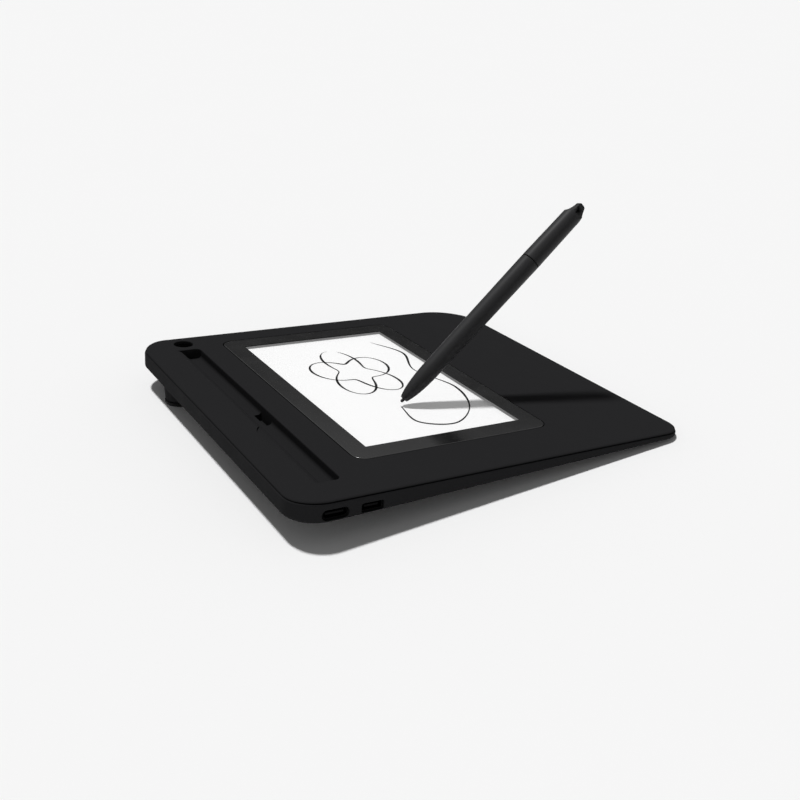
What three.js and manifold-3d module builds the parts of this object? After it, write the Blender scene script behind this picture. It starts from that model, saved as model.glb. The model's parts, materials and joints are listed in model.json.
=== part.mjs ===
// A counter-top signature pad with its pen resting on the screen.
// The pad's own frame has X to the user's right, Y away from the user and zero height on its top face.
import * as THREE from "three";
import { mergeVertices } from "three/addons/utils/BufferGeometryUtils.js";
import Module from "manifold-3d";

const wasm = await Module();
wasm.setup();

// Layout of the top face: margins and gaps from the edges inwards
const GLASS_LEFT_MARGIN = 22.9;
const GLASS_RIGHT_MARGIN = 10.9;
const PALM_LENGTH = 47.75;
const GLASS_TO_GROOVE = 11.15;
const GROOVE_WIDTH = 11.9;
const GROOVE_TO_BACK = 10;
const GROOVE_LEFT_MARGIN = 13.1;
const GROOVE_TO_WELL = 3.4;
const WELL_FROM_SIDE = 8.2;
const WELL_FROM_GROOVE_WALL = 4.4;

// Pad body: corners, edge rounding and the seam between the two covers
const REAR_CORNER = 12;
const FRONT_LEFT_CORNER = 8.5;
const FRONT_RIGHT_CORNER = 21;
const REAR_EDGE_DEPTH = 8.1;
const FRONT_EDGE_DEPTH = 2.3;
const TOP_EDGE_THICK = 0.5;
const TOP_EDGE_ROUND = 0.9;
const SEAM_GAP = 0.4;
const SEAM_INSET = 0.4;
const BAND_DROP = 0.5;
const UNDER_ROUND = 1.4;
const UNDER_ROUND_share = 0.22;
const ROLL_LENGTH = 10;
const ROLL_DROP = 0.85;
const TILT = 4.74;

// Walls and fits
const SIDE_WALL = 2.4;
const TOP_PLATE = 1.5;
const BOTTOM_WALL = 1.2;
const FIT = 0.3;
const STACK_FIT = 0.15;
const OVERRUN = 2;

// The deeper belly under the display and the pen groove
const BELLY_SIDE_MARGIN = 7.1;
const BELLY_AHEAD_OF_GLASS = 9.65;
const BELLY_TO_BACK = 10.2;
const BELLY_FRONT_DEPTH = 5.7;
const BELLY_REAR_DEPTH = 10.5;
const BELLY_CORNER = 8;
const BELLY_SLOPE = 3;
const LID_FRONT_LAND = 8.1;
const CAVITY_AHEAD_OF_BELLY = 14;

// Display: cover glass, its adhesive gasket, the panel and its backlight in a steel tray
const GLASS_CORNER = 5;
const GLASS_THICK = 1.1;
const GASKET_THICK = 0.25;
const GASKET_INSET = 0.4;
const GASKET_WIDTH = 1.85;
const TRAY_WIDTH = 120.7;
const TRAY_HEIGHT = 75.8;
const TRAY_CORNER = 1.5;
const TRAY_SHEET = 0.3;
const TRAY_DEPTH = 2.3;
const TRAY_CLEARANCE = 0.6;
const PANEL_THICK = 1;
const GUIDE_THICK = 0.6;
const COLLAR_WALL = 1.6;
const COLLAR_DEPTH = 2.9;
const DIGITIZER_OVERHANG = 0.5;
const DIGITIZER_THICK = 0.5;
const SHIELD_THICK = 0.2;
const SHIELD_INSET = 3;
const BOARD_CORNER = 1;
const RIB_THICK = 1.2;
const RIB_SPACING = 36;
const RIB_END_INSET = 4;

// Pen groove across the back, with its finger scoop and nail slot
const GROOVE_FLOOR_WIDTH = 4.3;
const GROOVE_DEPTH = 3.95;
const GROOVE_TOE_ROUND = 1.4;
const GROOVE_END_CORNER = 2;
const GROOVE_SHELL = 1.4;
const RAMP_POWER = 4;
const SCOOP_X = -29.5;
const SCOOP_RADIUS = 18;
const SCOOP_PAST_GROOVE = 0.2;
const SCOOP_RIM_DEPTH = 0.3;
const SCOOP_FALL_share = 0.22;
const SLOT_X = -6.6;
const SLOT_LENGTH = 10.2;
const SLOT_REACH = 2.8;
const SLOT_DEPTH = 2.2;

// Upright pen well beside the groove
const WELL_RADIUS = 4;
const CUP_WALL = 1;
const CUP_FLANGE = 0.7;
const CUP_FLANGE_THICK = 1;
const CUP_DEPTH = 13.3;
const CUP_CONE_DEPTH = 2.5;
const WELL_BOSS_WALL = 1;
const WELL_BOSS_DEPTH = 11;

// Main board, carried half way up the sockets on the user's left
const BOARD_TOP = -4.6;
const BOARD_THICK = 0.8;
const BOARD_WIDE_WIDTH = 12.8;
const BOARD_AHEAD_OF_MIDDLE = 8.4;
const BOARD_DIGITIZER_GAP = 3.4;
const BOARD_SIDE_TO_BACK = 9.6;
const BOARD_PAST_SOCKET = 5;
const BOARD_GROOVE_GAP = 1.1;
const CHIP_SIZE = 8;
const CHIP_THICK = 0.95;
const MEMORY_LENGTH = 6;
const MEMORY_WIDTH = 5;
const INDUCTOR_RADIUS = 2.6;
const INDUCTOR_HEIGHT = 1.9;
const PLUG_DEPTH = 2.6;
const PLUG_HEIGHT = 1;
const PLUG_INSET = 1.2;
const DISPLAY_PLUG_WIDTH = 14;
const DIGITIZER_PLUG_WIDTH = 9;
const COMPONENT_GAP = 1.2;
const RIBBON_THICK = 0.2;
const RIBBON_TRIM = 1;

// Sockets in the left side wall
const SOCKET_DEPTH = 4.8;
const SOCKET_RECESS = 0.8;
const SOCKET_LENGTH = 7.4;
const SOCKET_SHEET = 0.3;
const SOCKET_BACK = 1.4;
const TONGUE_THICK = 0.7;
const TONGUE_LENGTH = 5;
const TONGUE_SIDE_GAP = 0.8;
const POWER_SOCKET_TO_BACK = 13.6;
const POWER_SOCKET_WIDTH = 9;
const POWER_SOCKET_HEIGHT = 3.3;
const POWER_SOCKET_CORNER = 1.6;
const SOCKET_SPACING = 13.1;
const DATA_SOCKET_WIDTH = 7.6;
const DATA_SOCKET_HEIGHT = 2.9;
const DATA_SOCKET_CORNER = 0.6;

// Screws, their posts and their counterbores
const SCREW_HEAD_RADIUS = 1.8;
const SCREW_HEAD_THICK = 1.1;
const SCREW_SHANK_RADIUS = 0.9;
const SCREW_DRIVE_WIDTH = 0.5;
const SCREW_DRIVE_LENGTH = 2.2;
const SCREW_DRIVE_DEPTH = 0.6;
const SCREW_TIP = 1.3;
const POST_RADIUS = 2.3;
const BOSS_RADIUS = 2.6;
const BOSS_THICK = 1.1;
const PILOT_CLEARANCE = 0.15;
const COUNTERBORE = 1.5;
const REAR_SCREW_FROM_SIDE = 14.1;
const REAR_SCREW_FROM_BACK = 5.85;
const SIDE_SCREW_FROM_SIDE = 5.9;
const SIDE_SCREW_BEHIND_MIDDLE = 23.6;
const FRONT_SCREW_FROM_SIDE = 20.1;
const FRONT_SCREW_IN_BELLY = 4;
const BOARD_SCREW_SHANK = 0.8;
const BOARD_SCREW_HEAD = 1.5;
const BOARD_SCREW_HEAD_THICK = 0.8;
const BOARD_SCREW_LENGTH = 1.8;
const BOARD_SCREW_INSET = 2.6;
const BOARD_BOSS_RADIUS = 2;

// Feet: two tall legs with rubber shoes at the back, two low rubber pads at the front
const FRONT_STANDOFF = 1.4;
const FRONT_FOOT_FROM_SIDE = 18.1;
const FRONT_FOOT_FROM_FRONT = 10.1;
const FRONT_FOOT_RADIUS = 6;
const FRONT_FOOT_SEAT = 0.35;
const REAR_FOOT_FROM_SIDE = 31.1;
const REAR_FOOT_FROM_BACK = 8.9;
const LEFT_FOOT_STEP = 12;
const LEG_RADIUS = 6.7;
const SHOE_RADIUS = 6.95;
const SHOE_THICK = 1.5;
const SHOE_ROUND = 0.7;
const SHOE_STEM_RADIUS = 2;
const SHOE_STEM_LENGTH = 2.6;

// Pen: outline from the writing tip to the lanyard eye, measured along its axis
const PEN_LEFT_OF_MIDDLE = 24.6;
const PEN_BEHIND_MIDDLE = 1.3;
const PEN_LEAN = 48;
const PEN_YAW = 2.67;
const PEN_CLEARANCE = 0.5;
const NOSE_LENGTH = 18;
const NOSE_RADIUS = 3.6;
const NOSE_START = 1.6;
const CAP_LENGTH = 32;
const SEAM_RADIUS = 4.06;
const PEN_SEAM_GAP = 0.35;
const SHOULDER_RADIUS = 3.83;
const TAIL_LENGTH = 7;
const TAIL_BACK_LENGTH = 8.6;
const TAIL_BLADE_LENGTH = 2.6;
const TAIL_BLADE_HALF = 1.15;
const TAIL_TIP_RADIUS = 1.7;
const TAIL_WAIST = 2.3;
const TAIL_WAIST_LENGTH = 5.6;
const TAIL_TURN = 75;
const EYE_LENGTH = 3.4;
const EYE_WIDTH = 1.7;
const EYE_FROM_END = 3.9;
const BARREL_WALL = 0.9;
const CHAMBER_START = 11;
const CHAMBER_RADIUS = 2.6;
const SOCKET_BORE_RADIUS = 3;
const SPIGOT_LENGTH = 6;
const SPIGOT_RADIUS = 2.9;
const NIB_RADIUS = 0.65;
const NIB_BORE_CLEARANCE = 0.15;
const NIB_LENGTH = 22;
const NIB_TRAVEL = 0.6;
const HOLDER_RADIUS = 2;
const HOLDER_LENGTH = 4;
const CORE_START = 12.4;
const CORE_LENGTH = 8.6;
const CORE_RADIUS = 1.75;
const CORE_BORE_CLEARANCE = 0.3;
const COIL_INSET = 0.8;
const COIL_THICK = 0.4;
const SPRING_WIRE = 0.35;
const SPRING_RADIUS = 1.4;
const SPRING_LENGTH = 6;
const SPRING_TURNS = 5;
const PEN_BOARD_WIDTH = 4.2;
const PEN_BOARD_THICK = 0.8;
const PEN_BOARD_LENGTH = 30;
const PEN_BOARD_TO_CAP = 7.25;
const PEN_PLUG_LENGTH = 2;

// Counts of facets
const CORNER_STEPS = 6;
const OUTLINE_STEPS = 3;
const INNER_CORNER_STEPS = 1;
const EDGE_STEPS = 4;
const ROUND_STEPS = 24;
const SCOOP_STEPS = 48;
const SMALL_STEPS = 12;
const RAMP_STEPS = 10;
const SPRING_STEPS_PER_TURN = 6;
const WIRE_SIDES = 2;
const NOSE_STEPS = 12;

// Derived places
const GLASS_BORDER = TRAY_CLEARANCE + GASKET_WIDTH + GASKET_INSET;
const GLASS_WIDTH = TRAY_WIDTH + 2 * GLASS_BORDER;
const GLASS_HEIGHT = TRAY_HEIGHT + 2 * GLASS_BORDER;
const PAD_WIDTH = GLASS_LEFT_MARGIN + GLASS_WIDTH + GLASS_RIGHT_MARGIN;
const PAD_LENGTH = PALM_LENGTH + GLASS_HEIGHT + GLASS_TO_GROOVE + GROOVE_WIDTH + GROOVE_TO_BACK;
const HALF_WIDTH = PAD_WIDTH / 2;
const HALF_LENGTH = PAD_LENGTH / 2;
const DISPLAY_X = GLASS_LEFT_MARGIN + GLASS_WIDTH / 2 - HALF_WIDTH;
const DISPLAY_Y = PALM_LENGTH + GLASS_HEIGHT / 2 - HALF_LENGTH;
const GROOVE_REAR_Y = HALF_LENGTH - GROOVE_TO_BACK;
const GROOVE_WALL_Y = GROOVE_REAR_Y - GROOVE_WIDTH;
const GROOVE_RAMP_Y = GROOVE_WALL_Y + GROOVE_FLOOR_WIDTH;
const SCOOP_REAR_Y = GROOVE_REAR_Y + SCOOP_PAST_GROOVE;
const SCOOP_Y = SCOOP_REAR_Y - SCOOP_RADIUS;
const WELL_X = HALF_WIDTH - WELL_FROM_SIDE;
const WELL_Y = GROOVE_WALL_Y + WELL_FROM_GROOVE_WALL;
const BELLY_HALF_WIDTH = HALF_WIDTH - BELLY_SIDE_MARGIN;
const BELLY_FRONT_Y = DISPLAY_Y - GLASS_HEIGHT / 2 - BELLY_AHEAD_OF_GLASS;
const BELLY_REAR_Y = HALF_LENGTH - BELLY_TO_BACK;
const CAVITY_FRONT_Y = BELLY_FRONT_Y - CAVITY_AHEAD_OF_BELLY;
const LID_RECESS_FRONT_Y = LID_FRONT_LAND - HALF_LENGTH;
const POWER_SOCKET_Y = HALF_LENGTH - POWER_SOCKET_TO_BACK;
const DATA_SOCKET_Y = POWER_SOCKET_Y - SOCKET_SPACING;
const REAR_SCREW_X = HALF_WIDTH - REAR_SCREW_FROM_SIDE;
const REAR_SCREW_Y = HALF_LENGTH - REAR_SCREW_FROM_BACK;
const SIDE_SCREW_X = HALF_WIDTH - SIDE_SCREW_FROM_SIDE;
const SIDE_SCREW_Y = DISPLAY_Y + SIDE_SCREW_BEHIND_MIDDLE;
const FRONT_SCREW_X = HALF_WIDTH - FRONT_SCREW_FROM_SIDE;
const FRONT_SCREW_Y = BELLY_FRONT_Y + FRONT_SCREW_IN_BELLY;
const FRONT_FOOT_X = HALF_WIDTH - FRONT_FOOT_FROM_SIDE;
const FRONT_FOOT_Y = FRONT_FOOT_FROM_FRONT - HALF_LENGTH;
const REAR_FOOT_X = HALF_WIDTH - REAR_FOOT_FROM_SIDE;
const RIGHT_FOOT_Y = HALF_LENGTH - REAR_FOOT_FROM_BACK;
const LEFT_FOOT_Y = RIGHT_FOOT_Y - LEFT_FOOT_STEP;
const HOLDER_START = NIB_LENGTH + STACK_FIT;
const SPRING_START = HOLDER_START + HOLDER_LENGTH;
const PEN_BOARD_START = SPRING_START + SPRING_LENGTH + NIB_TRAVEL;
const SEAM_AT = PEN_BOARD_START + PEN_BOARD_LENGTH + PEN_BOARD_TO_CAP + SPIGOT_LENGTH;
const PEN_LENGTH = SEAM_AT + CAP_LENGTH;
const SHOULDER_AT = PEN_LENGTH - TAIL_LENGTH;
const TAIL_BLADE_START = PEN_LENGTH - TAIL_BLADE_LENGTH;
const TAIL_BELOW_START = PEN_LENGTH - TAIL_BACK_LENGTH;
const EYE_AT = PEN_LENGTH - EYE_FROM_END;
const PEN_X = DISPLAY_X - PEN_LEFT_OF_MIDDLE;
const PEN_Y = DISPLAY_Y + PEN_BEHIND_MIDDLE;
const WEDGE_SLOPE = (REAR_EDGE_DEPTH - FRONT_EDGE_DEPTH) / PAD_LENGTH;
const BELLY_LENGTH = BELLY_REAR_Y - BELLY_FRONT_Y;
const BELLY_PITCH = (BELLY_REAR_DEPTH - BELLY_FRONT_DEPTH) / BELLY_LENGTH;
const TILT_ANGLE = THREE.MathUtils.degToRad(TILT);
const FRONT_GROUND = underside(FRONT_FOOT_Y) - FRONT_STANDOFF;
const LEDGE = -(GLASS_THICK + STACK_FIT + GASKET_THICK + STACK_FIT);
const TRAY_TOP = -(GLASS_THICK + STACK_FIT);
const TRAY_BOTTOM = TRAY_TOP - TRAY_DEPTH;
const DIGITIZER_TOP = TRAY_BOTTOM - STACK_FIT;
const SHIELD_TOP = DIGITIZER_TOP - DIGITIZER_THICK - STACK_FIT;
const RIB_TOP = SHIELD_TOP - SHIELD_THICK - FIT;
const DIGITIZER_WIDTH = TRAY_WIDTH + 2 * DIGITIZER_OVERHANG;
const DIGITIZER_HEIGHT = TRAY_HEIGHT + 2 * DIGITIZER_OVERHANG;
const DIGITIZER_LEFT = DISPLAY_X - DIGITIZER_WIDTH / 2;
const BOARD_RIGHT = DIGITIZER_LEFT - BOARD_DIGITIZER_GAP;
const BOARD_LEFT = BOARD_RIGHT - BOARD_WIDE_WIDTH;
const BOARD_MID_X = (BOARD_LEFT + BOARD_RIGHT) / 2;
const BOARD_WIDE_FRONT_Y = DISPLAY_Y - BOARD_AHEAD_OF_MIDDLE;
const BOARD_SIDE_REAR_Y = HALF_LENGTH - BOARD_SIDE_TO_BACK;
const BOARD_SIDE_FRONT_Y = DATA_SOCKET_Y - BOARD_PAST_SOCKET;
const BOARD_BOTTOM = BOARD_TOP - BOARD_THICK;
const GROOVE_LEFT = GROOVE_LEFT_MARGIN - HALF_WIDTH;
const GROOVE_RIGHT = WELL_X - WELL_RADIUS - GROOVE_TO_WELL;
const BOARD_WIDE_REAR_Y = GROOVE_WALL_Y - GROOVE_SHELL - BOARD_GROOVE_GAP;
const SOCKET_MOUTH_X = SOCKET_RECESS - HALF_WIDTH;
const SOCKET_END_X = SOCKET_MOUTH_X + SOCKET_LENGTH;

// Height of the outer rim's underside at a distance from the front
function underside(y) {
  return -FRONT_EDGE_DEPTH - (y + HALF_LENGTH) * WEDGE_SLOPE;
}

// Height of the belly's underside
function bellyUnderside(y) {
  return -BELLY_FRONT_DEPTH - (y - BELLY_FRONT_Y) * BELLY_PITCH;
}

// How far the top face rolls down near the back edge
function roll(y) {
  const along = Math.max(0, (y - HALF_LENGTH + ROLL_LENGTH) / ROLL_LENGTH);
  return ROLL_DROP * along * along;
}

// Height of the surface that the pad stands on, in the pad's own tilted frame
function ground(y) {
  return FRONT_GROUND - (y - FRONT_FOOT_Y) * Math.tan(TILT_ANGLE);
}

function solidOf(geometry) {
  const bare = geometry.clone();
  bare.deleteAttribute("normal");
  bare.deleteAttribute("uv");
  const merged = mergeVertices(bare, 1e-4);
  const corners = [];
  for (let i = 0; i < merged.index.count; i += 3) {
    const [a, b, c] = [0, 1, 2].map((k) => merged.index.getX(i + k));
    if (a !== b && b !== c && c !== a) corners.push(a, b, c);
  }
  return new wasm.Manifold(
    new wasm.Mesh({
      numProp: 3,
      vertProperties: new Float32Array(merged.attributes.position.array),
      triVerts: new Uint32Array(corners),
    }),
  );
}

function geometryOf(solid) {
  const { vertProperties, triVerts, numProp } = solid.getMesh();
  const places = new Float32Array((vertProperties.length / numProp) * 3);
  for (let i = 0; i < places.length / 3; i++) {
    places.set(vertProperties.subarray(i * numProp, i * numProp + 3), i * 3);
  }
  const geometry = new THREE.BufferGeometry();
  geometry.setAttribute("position", new THREE.BufferAttribute(places, 3));
  geometry.setIndex(new THREE.BufferAttribute(new Uint32Array(triVerts), 1));
  geometry.computeVertexNormals();
  return geometry;
}

function join(first, ...others) {
  return others.reduce((sum, other) => sum.add(solidOf(other)), solidOf(first));
}

function cut(solid, ...tools) {
  return tools.reduce((rest, tool) => rest.subtract(solidOf(tool)), solid);
}

// A closed body through rings of points, from its lowest ring to its highest
function ringStack(rings) {
  const count = rings[0].length;
  const places = rings.flat();
  const index = [];
  rings.slice(1).forEach((_, level) => {
    for (let i = 0; i < count; i++) {
      const a = level * count + i;
      const b = level * count + ((i + 1) % count);
      index.push(a, b, b + count, a, b + count, a + count);
    }
  });
  const addCap = (ring, start, facingUp) => {
    const middle = new THREE.Vector3();
    ring.forEach((p) => middle.addScaledVector(p, 1 / count));
    const centre = places.push(middle) - 1;
    for (let i = 0; i < count; i++) {
      const [a, b] = [start + i, start + ((i + 1) % count)];
      index.push(centre, facingUp ? a : b, facingUp ? b : a);
    }
  };
  addCap(rings[0], 0, false);
  addCap(rings.at(-1), (rings.length - 1) * count, true);
  return new THREE.BufferGeometry().setFromPoints(places).setIndex(index);
}

// One ring of a rectangle with rounded corners, anticlockwise from above. Its front corners, left and
// right, have radii of their own.
function roundedRing(shape, inset, heightAt) {
  const { left, right, front, rear, leftCorner, rightCorner, rearCorner } = shape;
  const least = TOP_EDGE_THICK;
  const points = [];
  const corners = [
    [right, rear, -1, -1, rearCorner],
    [left, rear, 1, -1, rearCorner],
    [left, front, 1, 1, leftCorner],
    [right, front, -1, 1, rightCorner],
  ];
  corners.forEach(([x, y, inX, inY, corner], quarter) => {
    const radius = Math.max(corner - inset, least);
    const middle = new THREE.Vector2(x + inX * (inset + radius), y + inY * (inset + radius));
    for (let step = 0; step <= CORNER_STEPS; step++) {
      const angle = ((quarter + step / CORNER_STEPS) * Math.PI) / 2;
      const px = middle.x + radius * Math.cos(angle);
      const py = middle.y + radius * Math.sin(angle);
      points.push(new THREE.Vector3(px, py, heightAt(py)));
    }
  });
  return points;
}

// A box with rounded upright edges between two heights
function roundedBlock(centreX, centreY, width, length, corner, bottom, top, steps = OUTLINE_STEPS) {
  const shape = new THREE.Shape();
  const [hx, hy] = [width / 2, length / 2];
  shape.absarc(hx - corner, hy - corner, corner, 0, Math.PI / 2);
  shape.absarc(corner - hx, hy - corner, corner, Math.PI / 2, Math.PI);
  shape.absarc(corner - hx, corner - hy, corner, Math.PI, 1.5 * Math.PI);
  shape.absarc(hx - corner, corner - hy, corner, 1.5 * Math.PI, 2 * Math.PI);
  const settings = { depth: top - bottom, bevelEnabled: false, curveSegments: steps };
  return new THREE.ExtrudeGeometry(shape, settings).translate(centreX, centreY, bottom);
}

function block(left, right, front, rear, bottom, top) {
  const box = new THREE.BoxGeometry(right - left, rear - front, top - bottom);
  return box.translate((left + right) / 2, (front + rear) / 2, (bottom + top) / 2);
}

// A turned piece about an upright axis; the profile gives radius and height from the bottom
function turned(profile, steps = ROUND_STEPS) {
  const points = profile.map(([radius, height]) => new THREE.Vector2(radius, height));
  return new THREE.LatheGeometry(points, steps).rotateX(Math.PI / 2);
}

function rod(x, y, radius, bottom, top, steps = SMALL_STEPS) {
  const profile = [
    [0, bottom],
    [radius, bottom],
    [radius, top],
    [0, top],
  ];
  return turned(profile, steps).translate(x, y, 0);
}

// Puts a piece that was made upright on the standing surface into the pad's tilted frame
function standing(geometry, x, y) {
  return geometry.rotateX(-TILT_ANGLE).translate(x, y, ground(y));
}

function finish(color, roughness, metalness = 0) {
  return new THREE.MeshStandardMaterial({ color, roughness, metalness });
}

const FINISHES = {
  case: () => finish("#262627", 0.62),
  glass: () => finish("#1a1a1b", 0.08),
  panel: () => finish("#fdfdfd", 0.4),
  clear: () => finish("#e8eef2", 0.2),
  steel: () => finish("#b9bcc0", 0.35, 1),
  screw: () => finish("#3a3b3d", 0.4, 1),
  circuit: () => finish("#1d4a30", 0.5),
  chip: () => finish("#17181a", 0.5),
  plug: () => finish("#e6e1d3", 0.55),
  ribbon: () => finish("#8a5a1e", 0.45),
  gasket: () => finish("#101011", 0.8),
  rubber: () => finish("#19191a", 0.85),
  pen: () => finish("#2c2c2d", 0.55),
  nib: () => finish("#151516", 0.5),
  ferrite: () => finish("#3d3e42", 0.6),
  copper: () => finish("#b4703a", 0.35, 1),
};

function addPiece(parent, name, shape, look) {
  const geometry = shape.isBufferGeometry ? geometryOf(solidOf(shape)) : geometryOf(shape);
  const mesh = new THREE.Mesh(geometry, FINISHES[look]());
  mesh.name = name;
  parent.add(mesh);
}

const outline = {
  left: -HALF_WIDTH,
  right: HALF_WIDTH,
  front: -HALF_LENGTH,
  rear: HALF_LENGTH,
  leftCorner: FRONT_LEFT_CORNER,
  rightCorner: FRONT_RIGHT_CORNER,
  rearCorner: REAR_CORNER,
};
const bellyOutline = {
  left: -BELLY_HALF_WIDTH,
  right: BELLY_HALF_WIDTH,
  front: BELLY_FRONT_Y,
  rear: BELLY_REAR_Y,
  leftCorner: BELLY_CORNER,
  rightCorner: BELLY_CORNER,
  rearCorner: BELLY_CORNER,
};

// A section drawn with Y and height, drawn out along the pad's width
function acrossPad(section, left, right) {
  const settings = { depth: right - left, bevelEnabled: false, curveSegments: EDGE_STEPS };
  const prism = new THREE.ExtrudeGeometry(section, settings);
  return prism.rotateY(Math.PI / 2).rotateX(Math.PI / 2).translate(left, 0, 0);
}

// The groove's cross-section from the display side to the back, grown outwards by a shell thickness
function groovePrism(shell, left, right) {
  const wall = GROOVE_WALL_Y - shell;
  const floor = -GROOVE_DEPTH - shell;
  const above = OVERRUN;
  const section = new THREE.Shape();
  section.moveTo(wall, above);
  section.lineTo(wall, floor + GROOVE_TOE_ROUND);
  section.absarc(wall + GROOVE_TOE_ROUND, floor + GROOVE_TOE_ROUND, GROOVE_TOE_ROUND, Math.PI, 1.5 * Math.PI);
  for (let step = 0; step <= RAMP_STEPS; step++) {
    const t = step / RAMP_STEPS;
    const depth = GROOVE_DEPTH * (1 - t) ** RAMP_POWER * (1 + RAMP_POWER * t);
    section.lineTo(GROOVE_RAMP_Y + (GROOVE_REAR_Y - GROOVE_RAMP_Y) * t, -depth - shell);
  }
  section.lineTo(GROOVE_REAR_Y, above);
  return acrossPad(section, left, right);
}

function grooveSolid(shell) {
  const left = GROOVE_LEFT - shell;
  const right = GROOVE_RIGHT + shell;
  const reach = GROOVE_REAR_Y + GROOVE_END_CORNER + shell - GROOVE_WALL_Y;
  const plan = roundedBlock(
    (left + right) / 2,
    GROOVE_WALL_Y - shell + reach / 2,
    right - left,
    reach,
    GROOVE_END_CORNER,
    -GROOVE_DEPTH - shell - OVERRUN,
    OVERRUN,
  );
  const overhang = OVERRUN;
  return solidOf(groovePrism(shell, left - overhang, right + overhang)).intersect(solidOf(plan));
}

// A round-ended flat dent that falls from the groove's far rim towards its floor
function scoopSolid() {
  const disc = rod(SCOOP_X, SCOOP_Y, SCOOP_RADIUS, -GROOVE_DEPTH, OVERRUN, SCOOP_STEPS);
  const fall = (SCOOP_REAR_Y - GROOVE_RAMP_Y) * SCOOP_FALL_share;
  const section = new THREE.Shape();
  section.moveTo(GROOVE_RAMP_Y, OVERRUN);
  section.lineTo(GROOVE_RAMP_Y, -SCOOP_RIM_DEPTH - fall);
  section.lineTo(SCOOP_REAR_Y, -SCOOP_RIM_DEPTH);
  section.lineTo(SCOOP_REAR_Y, OVERRUN);
  const wedge = acrossPad(section, SCOOP_X - SCOOP_RADIUS, SCOOP_X + SCOOP_RADIUS);
  return solidOf(wedge).intersect(solidOf(disc));
}

function nailSlot(shell) {
  return block(
    SLOT_X - SLOT_LENGTH / 2 - shell,
    SLOT_X + SLOT_LENGTH / 2 + shell,
    GROOVE_WALL_Y - shell,
    GROOVE_WALL_Y + SLOT_REACH + shell,
    -GROOVE_DEPTH - SLOT_DEPTH - shell,
    -TOP_PLATE,
  );
}

// Screws: place, height of the head's seat, and height of the tip
const screws = [-1, 1].flatMap((side) => [
  {
    x: side * REAR_SCREW_X,
    y: REAR_SCREW_Y,
    seat: underside(REAR_SCREW_Y) + COUNTERBORE,
  },
  {
    x: side * SIDE_SCREW_X,
    y: SIDE_SCREW_Y,
    seat: underside(SIDE_SCREW_Y),
  },
  {
    x: side * FRONT_SCREW_X,
    y: FRONT_SCREW_Y,
    seat: bellyUnderside(FRONT_SCREW_Y) + COUNTERBORE,
  },
]);
screws.forEach((screw) => {
  screw.tip = -SCREW_TIP - roll(screw.y);
  screw.postBottom = screw.seat + BOSS_THICK + FIT;
});

function topCover() {
  const rim = (inset, height) => roundedRing(outline, inset, (y) => height - roll(y));
  const edge = [];
  for (let step = 0; step <= EDGE_STEPS; step++) {
    const angle = ((step / EDGE_STEPS) * Math.PI) / 2;
    const inset = SEAM_INSET + TOP_EDGE_ROUND * (1 - Math.cos(angle));
    edge.push(rim(inset, TOP_EDGE_THICK * (Math.sin(angle) - 1)));
  }
  const flatInset = SEAM_INSET + TOP_EDGE_ROUND;
  for (let step = 1; step <= EDGE_STEPS; step++) {
    edge.push(rim(flatInset + (ROLL_LENGTH - flatInset) * (step / EDGE_STEPS), 0));
  }
  const lidOutline = { ...outline, front: LID_RECESS_FRONT_Y + FIT - SIDE_WALL - FIT };
  const lidInset = SIDE_WALL + FIT;
  const lid = ringStack([
    roundedRing(lidOutline, lidInset, (y) => -TOP_PLATE - roll(y)),
    roundedRing(lidOutline, lidInset, (y) => -TOP_EDGE_THICK / 2 - roll(y)),
  ]);
  const pocketWidth = GLASS_WIDTH + 2 * FIT;
  const pocketHeight = GLASS_HEIGHT + 2 * FIT;
  const collar = roundedBlock(
    DISPLAY_X,
    DISPLAY_Y,
    pocketWidth + 2 * COLLAR_WALL,
    pocketHeight + 2 * COLLAR_WALL,
    GLASS_CORNER + FIT + COLLAR_WALL,
    -COLLAR_DEPTH,
    -TOP_EDGE_THICK,
    INNER_CORNER_STEPS,
  );
  const posts = screws.map((screw) =>
    rod(screw.x, screw.y, POST_RADIUS, screw.postBottom, -TOP_EDGE_THICK - roll(screw.y)),
  );
  const body = join(ringStack(edge), lid, collar, nailSlot(GROOVE_SHELL), ...posts);
  const underPlate = solidOf(
    block(-HALF_WIDTH, HALF_WIDTH, 0, HALF_LENGTH, -PAD_LENGTH, -TOP_EDGE_THICK - roll(GROOVE_REAR_Y)),
  );
  const trough = grooveSolid(GROOVE_SHELL).intersect(underPlate);
  const pocket = roundedBlock(
    DISPLAY_X,
    DISPLAY_Y,
    pocketWidth,
    pocketHeight,
    GLASS_CORNER + FIT,
    LEDGE,
    OVERRUN,
  );
  const windowCut = roundedBlock(
    DISPLAY_X,
    DISPLAY_Y,
    TRAY_WIDTH + 2 * TRAY_CLEARANCE,
    TRAY_HEIGHT + 2 * TRAY_CLEARANCE,
    TRAY_CORNER + TRAY_CLEARANCE,
    -COLLAR_DEPTH - OVERRUN,
    OVERRUN,
    INNER_CORNER_STEPS,
  );
  const well = rod(WELL_X, WELL_Y, WELL_RADIUS, -TOP_PLATE - OVERRUN, OVERRUN, ROUND_STEPS);
  const pilots = screws.map((screw) =>
    rod(
      screw.x,
      screw.y,
      SCREW_SHANK_RADIUS + PILOT_CLEARANCE,
      screw.postBottom - OVERRUN,
      screw.tip + PILOT_CLEARANCE,
    ),
  );
  const whole = body.add(trough);
  return cut(whole, pocket, windowCut, nailSlot(0), well, ...pilots)
    .subtract(grooveSolid(0))
    .subtract(scoopSolid());
}

function socketOpening(y, width, height, corner, grow, left, right) {
  const plug = roundedBlock(0, 0, width + 2 * grow, height + 2 * grow, corner + grow, left, right);
  return plug.rotateZ(Math.PI / 2).rotateY(Math.PI / 2).translate(0, y, -SOCKET_DEPTH);
}

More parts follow.
